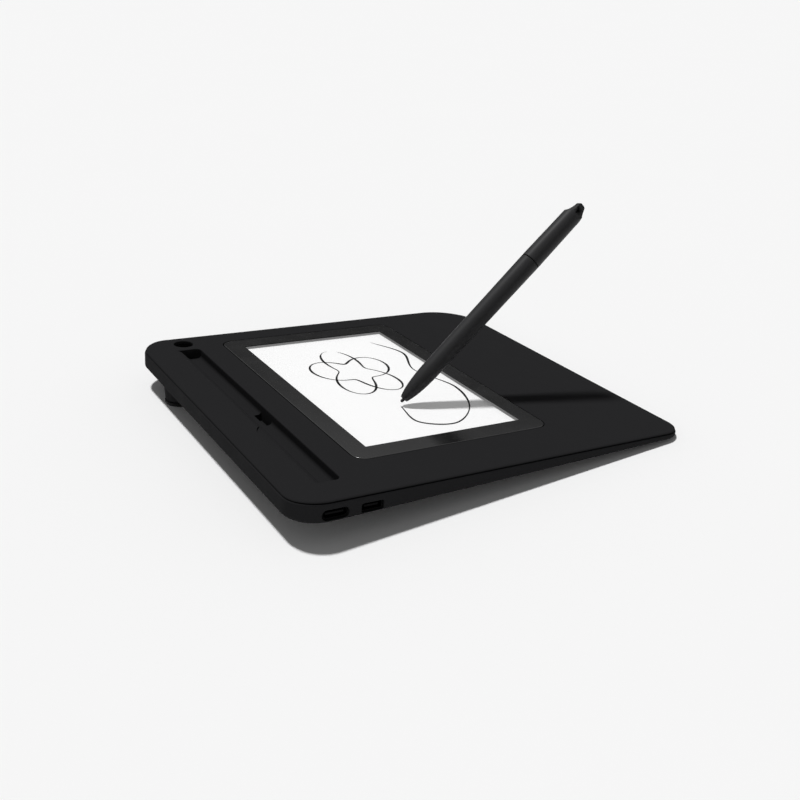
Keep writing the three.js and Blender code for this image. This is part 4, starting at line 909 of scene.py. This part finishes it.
def surface(name, base, rough, grain, depth, metal=0.0, shine=0.5, tint=0.08, stretch=(1, 1, 1), **extra):
    """A finished surface: grain of a size in millimetres in colour and relief, and slow drifts of gloss.

    extra gives the shader's own sockets, as numbers or as functions of the tree, the place and the tone.
    """

    def build(tree):
        where = here(tree)
        along = add(tree, "Mapping", {"Vector": where, "Scale": stretch}).outputs[0]
        fine = noise(tree, along, grain, 3.0, 0.6)
        slow = noise(tree, where, CLOUD, 2.0)
        tone = mix(tree, fine, rgba(base, 1 - tint), rgba(base, 1 + tint))
        sockets = {
            "Base Color": tone,
            "Roughness": spread(tree, slow, 0.3, 0.7, max(0.02, rough - WANDER), min(1, rough + WANDER)),
            "Metallic": metal,
            "Normal": add(tree, "Bump", {"Distance": depth / 1000, "Height": fine}).outputs[0],
        }
        if not metal:
            sockets["Specular IOR Level"] = shine
        for socket, value in extra.items():
            sockets[socket.replace("_", " ")] = value(tree, where, tone) if callable(value) else value
        return sockets

    return node_based(bpy.data.materials, name, build)


def in_display(tree, margin, soft, under=0):
    """0 inside the picture grown by a margin and 1 outside it, in millimetres.

    Below the middle of the glass the rectangle is larger by `under` on every side.
    """
    d = mm(DisplaySizes)
    turn, offset = pad_place()
    middle = (turn @ np.array([d.x, d.y, 0]) + offset) / 1000
    tilt = (settings(Angles).tilt, 0, 0)
    place = {"Vector": here(tree), "Location": middle, "Rotation": tilt}
    local = add(tree, "Mapping", place, vector_type="TEXTURE").outputs[0]
    away = add(tree, "VectorMath", {0: local}, operation="ABSOLUTE").outputs[0]
    half = np.array([d.picture_width / 2 + margin, d.picture_height / 2 + margin, d.thick / 2]) / 1000
    past = add(tree, "VectorMath", {0: away, 1: half}, operation="SUBTRACT").outputs[0]
    x, y, z = add(tree, "SeparateXYZ", {0: past}).outputs
    low = work_out(tree, "GREATER_THAN", z, 0.0)
    most = work_out(tree, "MULTIPLY_ADD", low, -under / 1000, work_out(tree, "MAXIMUM", x, y))
    return spread(tree, most, -soft / 1000, soft / 1000, 0, 1)


def glass_sockets(tree):
    """Polished cover glass, printed behind: a mirror-like dark border, a faint sheen over the window."""
    base, d = settings(Finishes).border, mm(DisplaySizes)
    dust = noise(tree, here(tree), 9, 3.0)
    return {
        "Base Color": mix(tree, dust, rgba(base, 0.9), rgba(base, 1.1)),
        "Roughness": spread(tree, dust, 0.3, 0.7, 0.18, 0.22),
        "Alpha": spread(tree, in_display(tree, d.print_margin, 0.04, d.lit_margin), 0, 1, 0.03, 1),
    }


def panel_sockets(tree):
    """Backlit liquid crystal panel: even white light, faintly clouded, a black mask round the picture."""
    base = settings(Finishes).screen
    lit = mix(tree, noise(tree, here(tree), 30), rgba(base, 0.98), rgba(base))
    seen = mix(tree, in_display(tree, mm(DisplaySizes).lit_margin, 0.03), lit, (0.002, 0.002, 0.002, 1))
    return {
        "Base Color": seen,
        "Roughness": 0.6,
        "Specular IOR Level": 0.1,
        "Emission Color": seen,
        "Emission Strength": 0.16,
    }


def tracks(line_colour, pitch, width):
    """Fine tracks as bands of a colour over the surface, with a pitch and width in millimetres."""

    def build(tree, where, tone):
        warp = add(tree, "TexVoronoi", {"Vector": where, "Scale": 1000 / 9}, distance="CHEBYCHEV")
        bands = {"Vector": where, "Scale": 1000 / pitch / 20, "Distortion": 0.0}
        wave = add(tree, "TexWave", bands, bands_direction="Y")
        twist = work_out(tree, "MULTIPLY", wave.outputs["Fac"], warp.outputs["Distance"])
        return mix(tree, work_out(tree, "GREATER_THAN", twist, 1 - width / pitch), tone, rgba(line_colour))

    return build


def materials():
    """Every finish by its record slot. Lengths are in millimetres."""
    f = settings(Finishes)
    etched, wires = tracks(f.track, 1.2, 0.5), tracks(f.copper, 0.8, 0.4)
    lined = dict(metal=1.0, stretch=(0.05, 1, 1))
    wound = dict(metal=1.0, stretch=(0.2, 1, 1))
    return {
        # Injection moulded ABS with a spark-eroded texture: nearly lightless black with a fine, dry grain
        "case": surface("Moulded_ABS_Covers", f.case, 0.55, 1000 * f.grain, 0.014, shine=0.004, tint=0.12),
        # The same plastic moulded smoother: long soft highlights along the barrel
        "pen": surface("Moulded_ABS_Pen", f.pen, 0.46, 0.4, 0.006, shine=0.14, tint=0.06),
        # Turned acetal: dense black with a waxy gloss
        "nib": surface("Turned_Acetal", f.nib, 0.35, 0.3, 0.003, shine=0.4),
        # Moulded rubber: dull black with a coarse, dusty bloom
        "rubber": surface("Moulded_Rubber", f.rubber, 0.85, 0.5, 0.03, shine=0.2, tint=0.15),
        # Stamped stainless sheet with fine rolling lines along X
        "steel": surface("Rolled_Steel", f.steel, 0.32, 0.3, 0.003, **lined),
        # Blackened steel: dark metal with small bright scuffs
        "screw": surface("Blackened_Steel", f.screw, 0.4, 0.35, 0.006, metal=1.0, tint=0.25),
        # Drawn steel sheet coloured near-black with a satin gloss: painted shade that darkens the socket
        # openings
        "socket": surface("Shell_Steel_Painted_Shade", f.oxide, 0.5, 0.3, 0.003, **lined),
        # Green solder mask over etched tracks
        "circuit": surface("Solder_Mask", f.circuit, 0.4, 0.5, 0.01, Base_Color=etched),
        # Moulded epoxy: near-black and evenly matt
        "chip": surface("Moulded_Epoxy", f.chip, 0.6, 0.25, 0.008, shine=0.04),
        # Sintered ferrite: grey with a sandy grain
        "ferrite": surface("Sintered_Ferrite", f.ferrite, 0.65, 0.4, 0.02, shine=0.4, tint=0.2),
        # Moulded nylon: ivory with a soft sheen
        "plug": surface("Moulded_Nylon", f.plug, 0.5, 0.5, 0.008, shine=0.4, tint=0.04),
        # Polyimide film over copper tracks: amber with darker lines
        "ribbon": surface("Polyimide_Film", f.ribbon, 0.35, 0.6, 0.004, Base_Color=wires),
        # Die-cut adhesive foam: black with open cells
        "gasket": surface("Die_Cut_Foam", f.gasket, 0.9, 0.3, 0.05, shine=0.1, tint=0.3),
        # Clear moulded acrylic with a frosted dot field
        "clear": surface("Frosted_Acrylic", f.clear, 0.25, 0.8, 0.01, Transmission_Weight=0.7, tint=0.03),
        # Enamelled wire wound side by side: coppery rings
        "copper": surface("Enamelled_Winding", f.copper, 0.35, 0.35, 0.03, tint=0.2, **wound),
        # Black pixels of the drawn strokes
        "ink": surface("Drawn_Stroke", f.ink, 0.6, 0.3, 0.0, shine=0.1, tint=0.1),
        "glass": node_based(bpy.data.materials, "Printed_Cover_Glass", glass_sockets),
        "panel": node_based(bpy.data.materials, "Backlit_Panel", panel_sockets),
    }


LOOKS = {}


def look(slot):
    """The finish of a record slot, made once."""
    if not LOOKS:
        LOOKS.update(materials())
    return LOOKS[slot]


# Operators


class OBJECT_OT_pad_covers(bpy.types.Operator):
    """Makes the top and the bottom cover"""

    bl_idname = "object.pad_covers"
    bl_label = "Covers"

    def execute(self, context):
        piece("pad_top", placed(top_cover_shape()), look("case"), "pad", ["top_cover"])
        piece("pad_base", placed(bottom_cover_shape()), look("case"), "pad", ["bottom_cover"])
        return {"FINISHED"}


class OBJECT_OT_pad_glass(bpy.types.Operator):
    """Makes the cover glass, its upper edge polished round"""

    bl_idname = "object.pad_glass"
    bl_label = "Cover glass"

    def execute(self, context):
        d = mm(DisplaySizes)
        low_in, low_up = quarter(d.under_polish, d.under_polish, 4)
        high_in, high_up = quarter(d.polish, d.polish, 8)
        insets = np.concatenate([low_in, high_in[::-1]])
        heights = np.concatenate([low_up - d.thick, -high_up[::-1]])
        plate = slab(d.width / 2, d.height / 2, d.corner, insets, heights)
        piece("display_glass", placed(plate), look("glass"), "pad", ["cover_glass"])
        return {"FINISHED"}


def chain(points, steps=80):
    """A smooth path through points: on each span a cubic whose end slopes come from the neighbours."""
    p = np.asarray(points, float)
    p = np.concatenate([2 * p[:1] - p[1:2], p, 2 * p[-1:] - p[-2:-1]])
    t = np.linspace(0, 1, steps, endpoint=False)[None, :, None]
    a, b, c, d = (p[i : len(p) - 3 + i, None] for i in range(4))
    bend, twist = 2 * a - 5 * b + 4 * c - d, 3 * b - a - 3 * c + d
    path = 0.5 * (2 * b + (c - a) * t + bend * t**2 + twist * t**3)
    return np.concatenate([path.reshape(-1, 2), p[-2:-1]])


def lobes():
    """An interlaced ring: two turns of r = mean + swing cos 2.5a round its middle, stretched along X."""
    middle, mean, swing, stretch = (20, 7), 12, 5.5, 1.5
    a = np.linspace(0, 3.93 * math.pi, 700)
    r = mean + swing * np.cos(2.5 * a)
    return np.array(middle) + np.stack([stretch * r * np.cos(a), r * np.sin(a)], -1)


def stroke(path, thin, thick, beats, z, height):
    """A flat strip along a path: its width is thin + (thick - thin) sin^2, tapered at both ends."""
    along = np.concatenate([[0], np.cumsum(np.linalg.norm(np.diff(path, axis=0), axis=1))])
    s = along / along[-1]
    ahead = np.gradient(path, axis=0)
    ahead /= np.linalg.norm(ahead, axis=1, keepdims=True)
    side = np.stack([-ahead[:, 1], ahead[:, 0]], -1)
    width = thin + (thick - thin) * np.sin(math.pi * beats * s) ** 2
    first, last, least = 0.03, 0.008, 0.15
    width *= np.clip(np.minimum(s / first, (1 - s) / last), least, 1)
    half = side * width[:, None] / 2
    across = np.stack([path - half, path + half, path + half, path - half], 1)
    up = np.broadcast_to(z + height * np.array([0, 0, 1, 1]), across.shape[:2])
    return body(np.concatenate([across, up[..., None]], -1))


class OBJECT_OT_pad_strokes(bpy.types.Operator):
    """Draws two abstract strokes on the display, a ring of five lobes and a wave up to the pen's tip"""

    bl_idname = "object.pad_strokes"
    bl_label = "Strokes"

    def execute(self, context):
        d, p = mm(DisplaySizes), mm(PenSizes)
        low = -d.thick - d.ink_depth
        sweep = chain([*WAVE, (p.x, p.y)])
        for name, path, beats in (("stroke_ring", lobes(), 9), ("stroke_sweep", sweep, 3)):
            shape = stroke(path, d.ink_thin_width, d.ink_full_width, beats, low, d.ink_thick)
            piece(name, placed(shape), look("ink"), "pad", [])
        return {"FINISHED"}


class OBJECT_OT_pad_sockets(bpy.types.Operator):
    """Makes the shells of both sockets, drawn from sheet with a round lip"""

    bl_idname = "object.pad_sockets"
    bl_label = "Sockets"

    def execute(self, context):
        c = mm(CaseSizes)
        mouth = -c.half_width + SOCKET_RECESS
        end = mouth + SOCKET_LENGTH
        a = np.linspace(0, math.pi, 9)
        half = SOCKET_SHEET / 2
        grow = np.concatenate([[-SOCKET_SHEET], half * (-1 - np.cos(a)), [0]])
        places = np.concatenate([[end - SOCKET_SHEET], mouth + half - half * np.sin(a), [end]])
        for name, y, width, height, corner in SOCKETS:
            shell = socket_loop(width, height, corner, grow, places, y)
            # The shells take the near-black painted shade of the socket finish
            piece(name, placed(shell), look("socket"), "pad", [name + "_shell"])
        return {"FINISHED"}


class OBJECT_OT_pad_well(bpy.types.Operator):
    """Makes the cup of the pen well"""

    bl_idname = "object.pad_well"
    bl_label = "Pen well"

    def execute(self, context):
        c, g = mm(CaseSizes), mm(GrooveSizes)
        outer = g.well_radius + g.cup_wall
        top = -c.plate - c.fit
        foot, rise = quarter(g.cup_round, g.cup_round, 5)
        low = top - g.flange_thick
        profile = [(0, -g.cup_depth), *zip(outer - foot, rise - g.cup_depth), (outer, low)]
        profile += [(outer + g.cup_flange, low), (outer + g.cup_flange, top), (g.well_radius, top)]
        profile += [(g.well_radius, g.cup_wall - g.cup_depth + g.cup_cone), (0, g.cup_wall - g.cup_depth)]
        cup = moved(turned(profile, ROUND), (g.well_x, g.well_y, 0))
        piece("well_cup", placed(cup), look("case"), "pad", ["pen_well_cup"])
        return {"FINISHED"}


class OBJECT_OT_pad_feet(bpy.types.Operator):
    """Makes the rubber shoes at the back and the rubber pads at the front, upright on the ground"""

    bl_idname = "object.pad_feet"
    bl_label = "Feet"

    def execute(self, context):
        f = mm(FootSizes)
        inset, rise = quarter(f.shoe_round, f.shoe_round)
        rim, thick, top = f.shoe_radius, f.shoe_thick, f.shoe_thick + f.stem_length
        shoe = [(0, 0), *zip(rim - inset, rise), (rim, thick - f.shoe_edge), (rim - f.shoe_edge, thick)]
        shoe += [(f.stem_radius, thick), (f.stem_radius, top), (0, top)]
        pad = [(0, 0), *zip(f.front_radius - inset, rise), (f.front_radius, f.front_top), (0, f.front_top)]
        front_feet = ((f.front_x, f.front_y), (-f.front_x, f.front_y))
        for end, places, profile in (("front", front_feet, pad), ("rear", rear_feet(), shoe)):
            for side, (x, y) in zip(("right", "left"), places):
                foot = placed(on_ground(profile, x, y))
                node = f"{end}_foot_{side}"
                piece(f"{end}_rubber_{side}", foot, look("rubber"), "pad", [node])
        return {"FINISHED"}


class OBJECT_OT_pad_screws(bpy.types.Operator):
    """Makes the six case screws, each turned with a crowned head and a cross recess"""

    bl_idname = "object.pad_screws"
    bl_label = "Case screws"

    def execute(self, context):
        f = mm(FootSizes)
        arms = (f.recess_long, f.recess_short)
        for i, (x, y, seat, tip) in enumerate(screw_places()):
            inset, rise = quarter(f.crown_width, f.crown_rise, 5)
            low = seat - f.head_thick
            under = seat - f.shank_fit
            profile = [(0, low), *zip(f.head_radius - inset, low + rise), (f.head_radius, under)]
            profile += [(f.shank_radius, under), (f.shank_radius, tip - f.shank_radius), (0, tip)]
            heights = (low - ABOVE, low + f.recess_depth)
            bars = (block(-w, w, -l, l, *heights, f.recess_corner) for w, l in (arms, arms[::-1]))
            screw = moved(carved(turned(profile, SMALL), *less(*bars)), (x, y, 0))
            piece(f"screw_{i + 1}", placed(screw), look("screw"), "pad", [f"case_screw_{i + 1}"])
        return {"FINISHED"}


def pen_radius(s):
    """Pen radius at s from the tip: an ellipse over the nose, then straight to seam and shoulder."""
    p = mm(PenSizes)
    s = np.asarray(s, float)
    nose = p.nose_radius * np.sqrt(1 - np.clip(1 - s / p.nose, 0, 1) ** 2)
    rest = np.interp(s, [p.nose, p.seam, p.shoulder], [p.nose_radius, p.seam_radius, p.shoulder_radius])
    return np.where(s < p.nose, nose, rest)


def prism(points, axis):
    """A flat outline of (across, along the pen) carried along X or Y; along Y its faces point inwards."""
    across, along = np.asarray(points, float).T
    reach = mm(PenSizes).prism_reach * np.array([[-1], [1]])
    return body(rings(reach, across, along) if axis == "x" else rings(across, reach, along))


def curve(start, control, end, steps=16):
    """A quadratic curve: (1-t)^2 A + 2 t (1-t) B + t^2 C."""
    t = np.linspace(0, 1, steps + 1)[:, None]
    a, b, c = (np.asarray(v, float) for v in (start, control, end))
    return (1 - t) ** 2 * a + 2 * t * (1 - t) * b + t**2 * c


def arc(x, y, radius, start, end, steps=16):
    """An arc (x + r cos a, y + r sin a) between two angles in degrees."""
    a = np.radians(np.linspace(start, end, steps + 1))
    return np.stack([x + radius * np.cos(a), y + radius * np.sin(a)], -1)


def tail_cap_shape():
    """The tail cap: a turned body cut to its side and front outlines, which are turned about the pen."""
    p = mm(PenSizes)
    begin = p.seam + p.seam_gap / 2
    spigot = p.seam - p.spigot
    fine = np.linspace(begin + p.seam_round, p.shoulder, 12)
    profile = [(0, spigot), (p.spigot_end_radius, spigot)]
    profile += [(p.spigot_radius, spigot + p.spigot_bevel), (p.spigot_radius, begin)]
    profile += [(float(pen_radius(begin)) - p.seam_step, begin)]
    profile += [*zip(pen_radius(fine), fine), (p.shoulder_radius, p.total), (0, p.total)]
    far = p.shoulder_radius + ABOVE
    low = spigot - ABOVE
    bend = (-p.blade_half, p.hollow_start + p.blade_half)
    side = np.concatenate([
        [(-far, low), (far, low), (far, p.shoulder), (p.shoulder_radius, p.shoulder)],
        arc(0, p.total - p.blade_half, p.blade_half, 0, 180),
        curve((-p.blade_half, p.blade_start), bend, (-p.shoulder_radius, p.hollow_start)),
        [(-far, p.hollow_start)],
    ])
    tip = p.total - p.tip_radius
    right = curve((p.shoulder_radius, p.shoulder), (p.waist, p.waist_at), (p.tip_radius, tip))
    early = p.shoulder - p.shoulder_radius / 2
    foot = [(-far, low), (far, low), (far, early)]
    left = [*(right[-2::-1] * (-1, 1)), (-far, early)]
    face = np.concatenate([foot, right[:-1], arc(0, tip, p.tip_radius, 0, 180), left])
    half = (p.eye_length - p.eye_width) / 2
    r = p.eye_width / 2
    eye = np.concatenate([arc(0, p.eye_at + half, r, 0, 180), arc(0, p.eye_at - half, r, 180, 360)])
    turn = turn_z(settings(Angles).tail)
    # The prisms along Y are inside out: the cap's faces come out inwards, and the eye gets a second layer
    # over it in place of an opening
    steps = [("INTERSECT", prism(side, "x")), ("INTERSECT", prism(face, "y")), *less(prism(eye, "y"))]
    return carved(turned(profile, ROUND), *((how, mapped(shape, turn)) for how, shape in steps))


class OBJECT_OT_pad_pen(bpy.types.Operator):
    """Makes the pen's barrel and its tail cap"""

    bl_idname = "object.pad_pen"
    bl_label = "Pen"

    def execute(self, context):
        p = mm(PenSizes)
        bore = p.nib_radius + p.nib_fit
        mouth = bore + p.mouth_bevel
        if pen_radius(p.start) < mouth:
            raise RuntimeError("the nose is too thin for its bore")
        end = p.seam - p.seam_gap / 2
        nose = p.start + (p.nose - p.start) * np.linspace(0, 1, 40) ** 2
        s = np.concatenate([nose, np.linspace(p.nose, end - p.seam_round, 24)[1:]])
        floor = p.seam - p.spigot - p.spigot_fit
        profile = [(bore, p.start + p.mouth_bevel), (mouth, p.start), *zip(pen_radius(s), s)]
        profile += [(float(pen_radius(end)) - p.seam_step, end), (p.socket_radius, end)]
        profile += [(p.socket_radius, floor), (p.bore, floor), (p.bore, p.bore_start), (bore, p.nib_seat)]
        barrel = on_pen(turned(profile, ROUND, wrap=True))
        piece("barrel", barrel, look("pen"), "pen", ["pen_barrel"])
        cap = on_pen(tail_cap_shape())
        piece("tail_cap", cap, look("pen"), "pen", ["pen_tail_cap"], bevel=p.bevel)
        return {"FINISHED"}


class OBJECT_OT_pad_nib(bpy.types.Operator):
    """Makes the nib, its writing end half a sphere"""

    bl_idname = "object.pad_nib"
    bl_label = "Nib"

    def execute(self, context):
        p = mm(PenSizes)
        inset, rise = quarter(p.nib_radius, p.nib_radius, 10)
        profile = [*zip(p.nib_radius - inset, rise), (p.nib_radius, p.nib_length), (0, p.nib_length)]
        piece("nib", on_pen(turned(profile, SMALL)), look("nib"), "nib", ["pen_nib"])
        return {"FINISHED"}


class OBJECT_OT_pad_inside(bpy.types.Operator):
    """Gives every carried-over part the finish of its record slot"""

    bl_idname = "object.pad_inside"
    bl_label = "Inner parts"

    def execute(self, context):
        slots = {row["node"]: row["material_slot"] for row in frame["record"]["subparts"]}
        for name, node in frame["nodes"].items():
            for holder in node.material_slots:
                holder.link = "OBJECT"
                holder.material = look(slots[name])
        return {"FINISHED"}


def board_sockets(tree):
    """Painted board: an even matt white that takes the shadow and clouds a little over a hand's breadth."""
    base = settings(Finishes).floor
    cloud = noise(tree, here(tree), 1000 / 9)
    return {"Color": mix(tree, cloud, rgba(base, 0.995), rgba(base)), "Roughness": 0.0}


def studio_sockets(tree):
    """A studio, white to the camera and a graded dome in gloss and glass, that lights from its walls."""
    s = settings(Studio)
    path = add(tree, "LightPath").outputs
    up = add(tree, "SeparateXYZ", {0: add(tree, "TexCoord").outputs["Generated"]}).outputs["Z"]
    dome = add(tree, "ValToRGB", {0: up})
    stops = dome.color_ramp.elements
    for place, level in DOME:
        stops.new(place).color = (level, level, level, 1)
    stops[0].color, stops[-1].color = (0.04, 0.04, 0.04, 1), (1, 1, 1, 1)
    mirrored = work_out(tree, "MAXIMUM", path["Is Glossy Ray"], path["Is Transmission Ray"])
    soft = mix(tree, mirrored, spread(tree, up, 0.1, 0.55, s.walls, s.ambient), dome.outputs[0])
    return {"Color": mix(tree, path["Is Camera Ray"], soft, (1, 1, 1, 1)), "Strength": 1.0}


class OBJECT_OT_pad_stage(bpy.types.Operator):
    """Makes the floor, the light and the camera"""

    bl_idname = "object.pad_stage"
    bl_label = "Studio"

    def execute(self, context):
        s = settings(Studio)
        scene = context.scene
        half = s.floor_size / 2
        points, faces = body(rings([-half, half], np.array([[-half], [half]]), 0.0))
        floor = scratch("floor", (points, faces[:1]))
        board = node_based(bpy.data.materials, "Painted_Board", board_sockets, "BsdfDiffuse")
        floor.data.materials.append(board)
        scene.world = node_based(bpy.data.worlds, "studio", studio_sockets, "Background", "OutputWorld")

        lamp = bpy.data.lights.new("key", "SUN")
        toward = Matrix.Rotation(settings(Angles).tilt, 3, "X") @ Vector(s.lamp).normalized()
        lamp.energy = s.key * math.pi / toward.z
        lamp.angle = s.key_size
        key = bpy.data.objects.new("key", lamp)
        key.rotation_euler = toward.to_track_quat("Z", "Y").to_euler()
        scene.collection.objects.link(key)

        lens = bpy.data.cameras.new("camera")
        lens.lens, lens.sensor_width = s.lens, 36
        lens.clip_start, lens.clip_end = 0.01, 50
        camera = bpy.data.objects.new("camera", lens)
        turn, offset = pad_place()
        camera.location = (turn @ (1000 * np.array(s.camera)) + offset) / 1000
        camera.rotation_euler = Vector(s.view).to_track_quat("-Z", "Y").to_euler()
        scene.collection.objects.link(camera)
        scene.camera = camera
        scene.view_settings.view_transform = "Standard"
        return {"FINISHED"}


OPERATORS = (
    OBJECT_OT_pad_stage,
    OBJECT_OT_pad_covers,
    OBJECT_OT_pad_glass,
    OBJECT_OT_pad_strokes,
    OBJECT_OT_pad_sockets,
    OBJECT_OT_pad_well,
    OBJECT_OT_pad_feet,
    OBJECT_OT_pad_screws,
    OBJECT_OT_pad_pen,
    OBJECT_OT_pad_nib,
    OBJECT_OT_pad_inside,
)


class VIEW3D_PT_pad(bpy.types.Panel):
    """Settings and steps of the signature pad"""

    bl_idname = "VIEW3D_PT_pad"
    bl_label = "Signature pad"
    bl_space_type = "VIEW_3D"
    bl_region_type = "UI"
    bl_category = "Signature pad"

    def draw(self, context):
        for operator in OPERATORS:
            self.layout.operator(operator.bl_idname)
        for group in GROUPS:
            box = self.layout.box()
            box.label(text=group.__doc__)
            for name in group.__annotations__:
                box.prop(settings(group), name)


def register():
    for made in (*GROUPS, *OPERATORS, VIEW3D_PT_pad):
        bpy.utils.register_class(made)
    for group in GROUPS:
        name = "pad_" + group.__name__.lower()
        setattr(bpy.types.Scene, name, bpy.props.PointerProperty(type=group, name=group.__name__))


def unregister():
    for group in GROUPS:
        delattr(bpy.types.Scene, "pad_" + group.__name__.lower())
    for made in reversed((*GROUPS, *OPERATORS, VIEW3D_PT_pad)):
        bpy.utils.unregister_class(made)


def main():
    register()
    for operator in OPERATORS:
        kind, name = operator.bl_idname.split(".")
        getattr(getattr(bpy.ops, kind), name)()


if __name__ == "__main__":
    main()
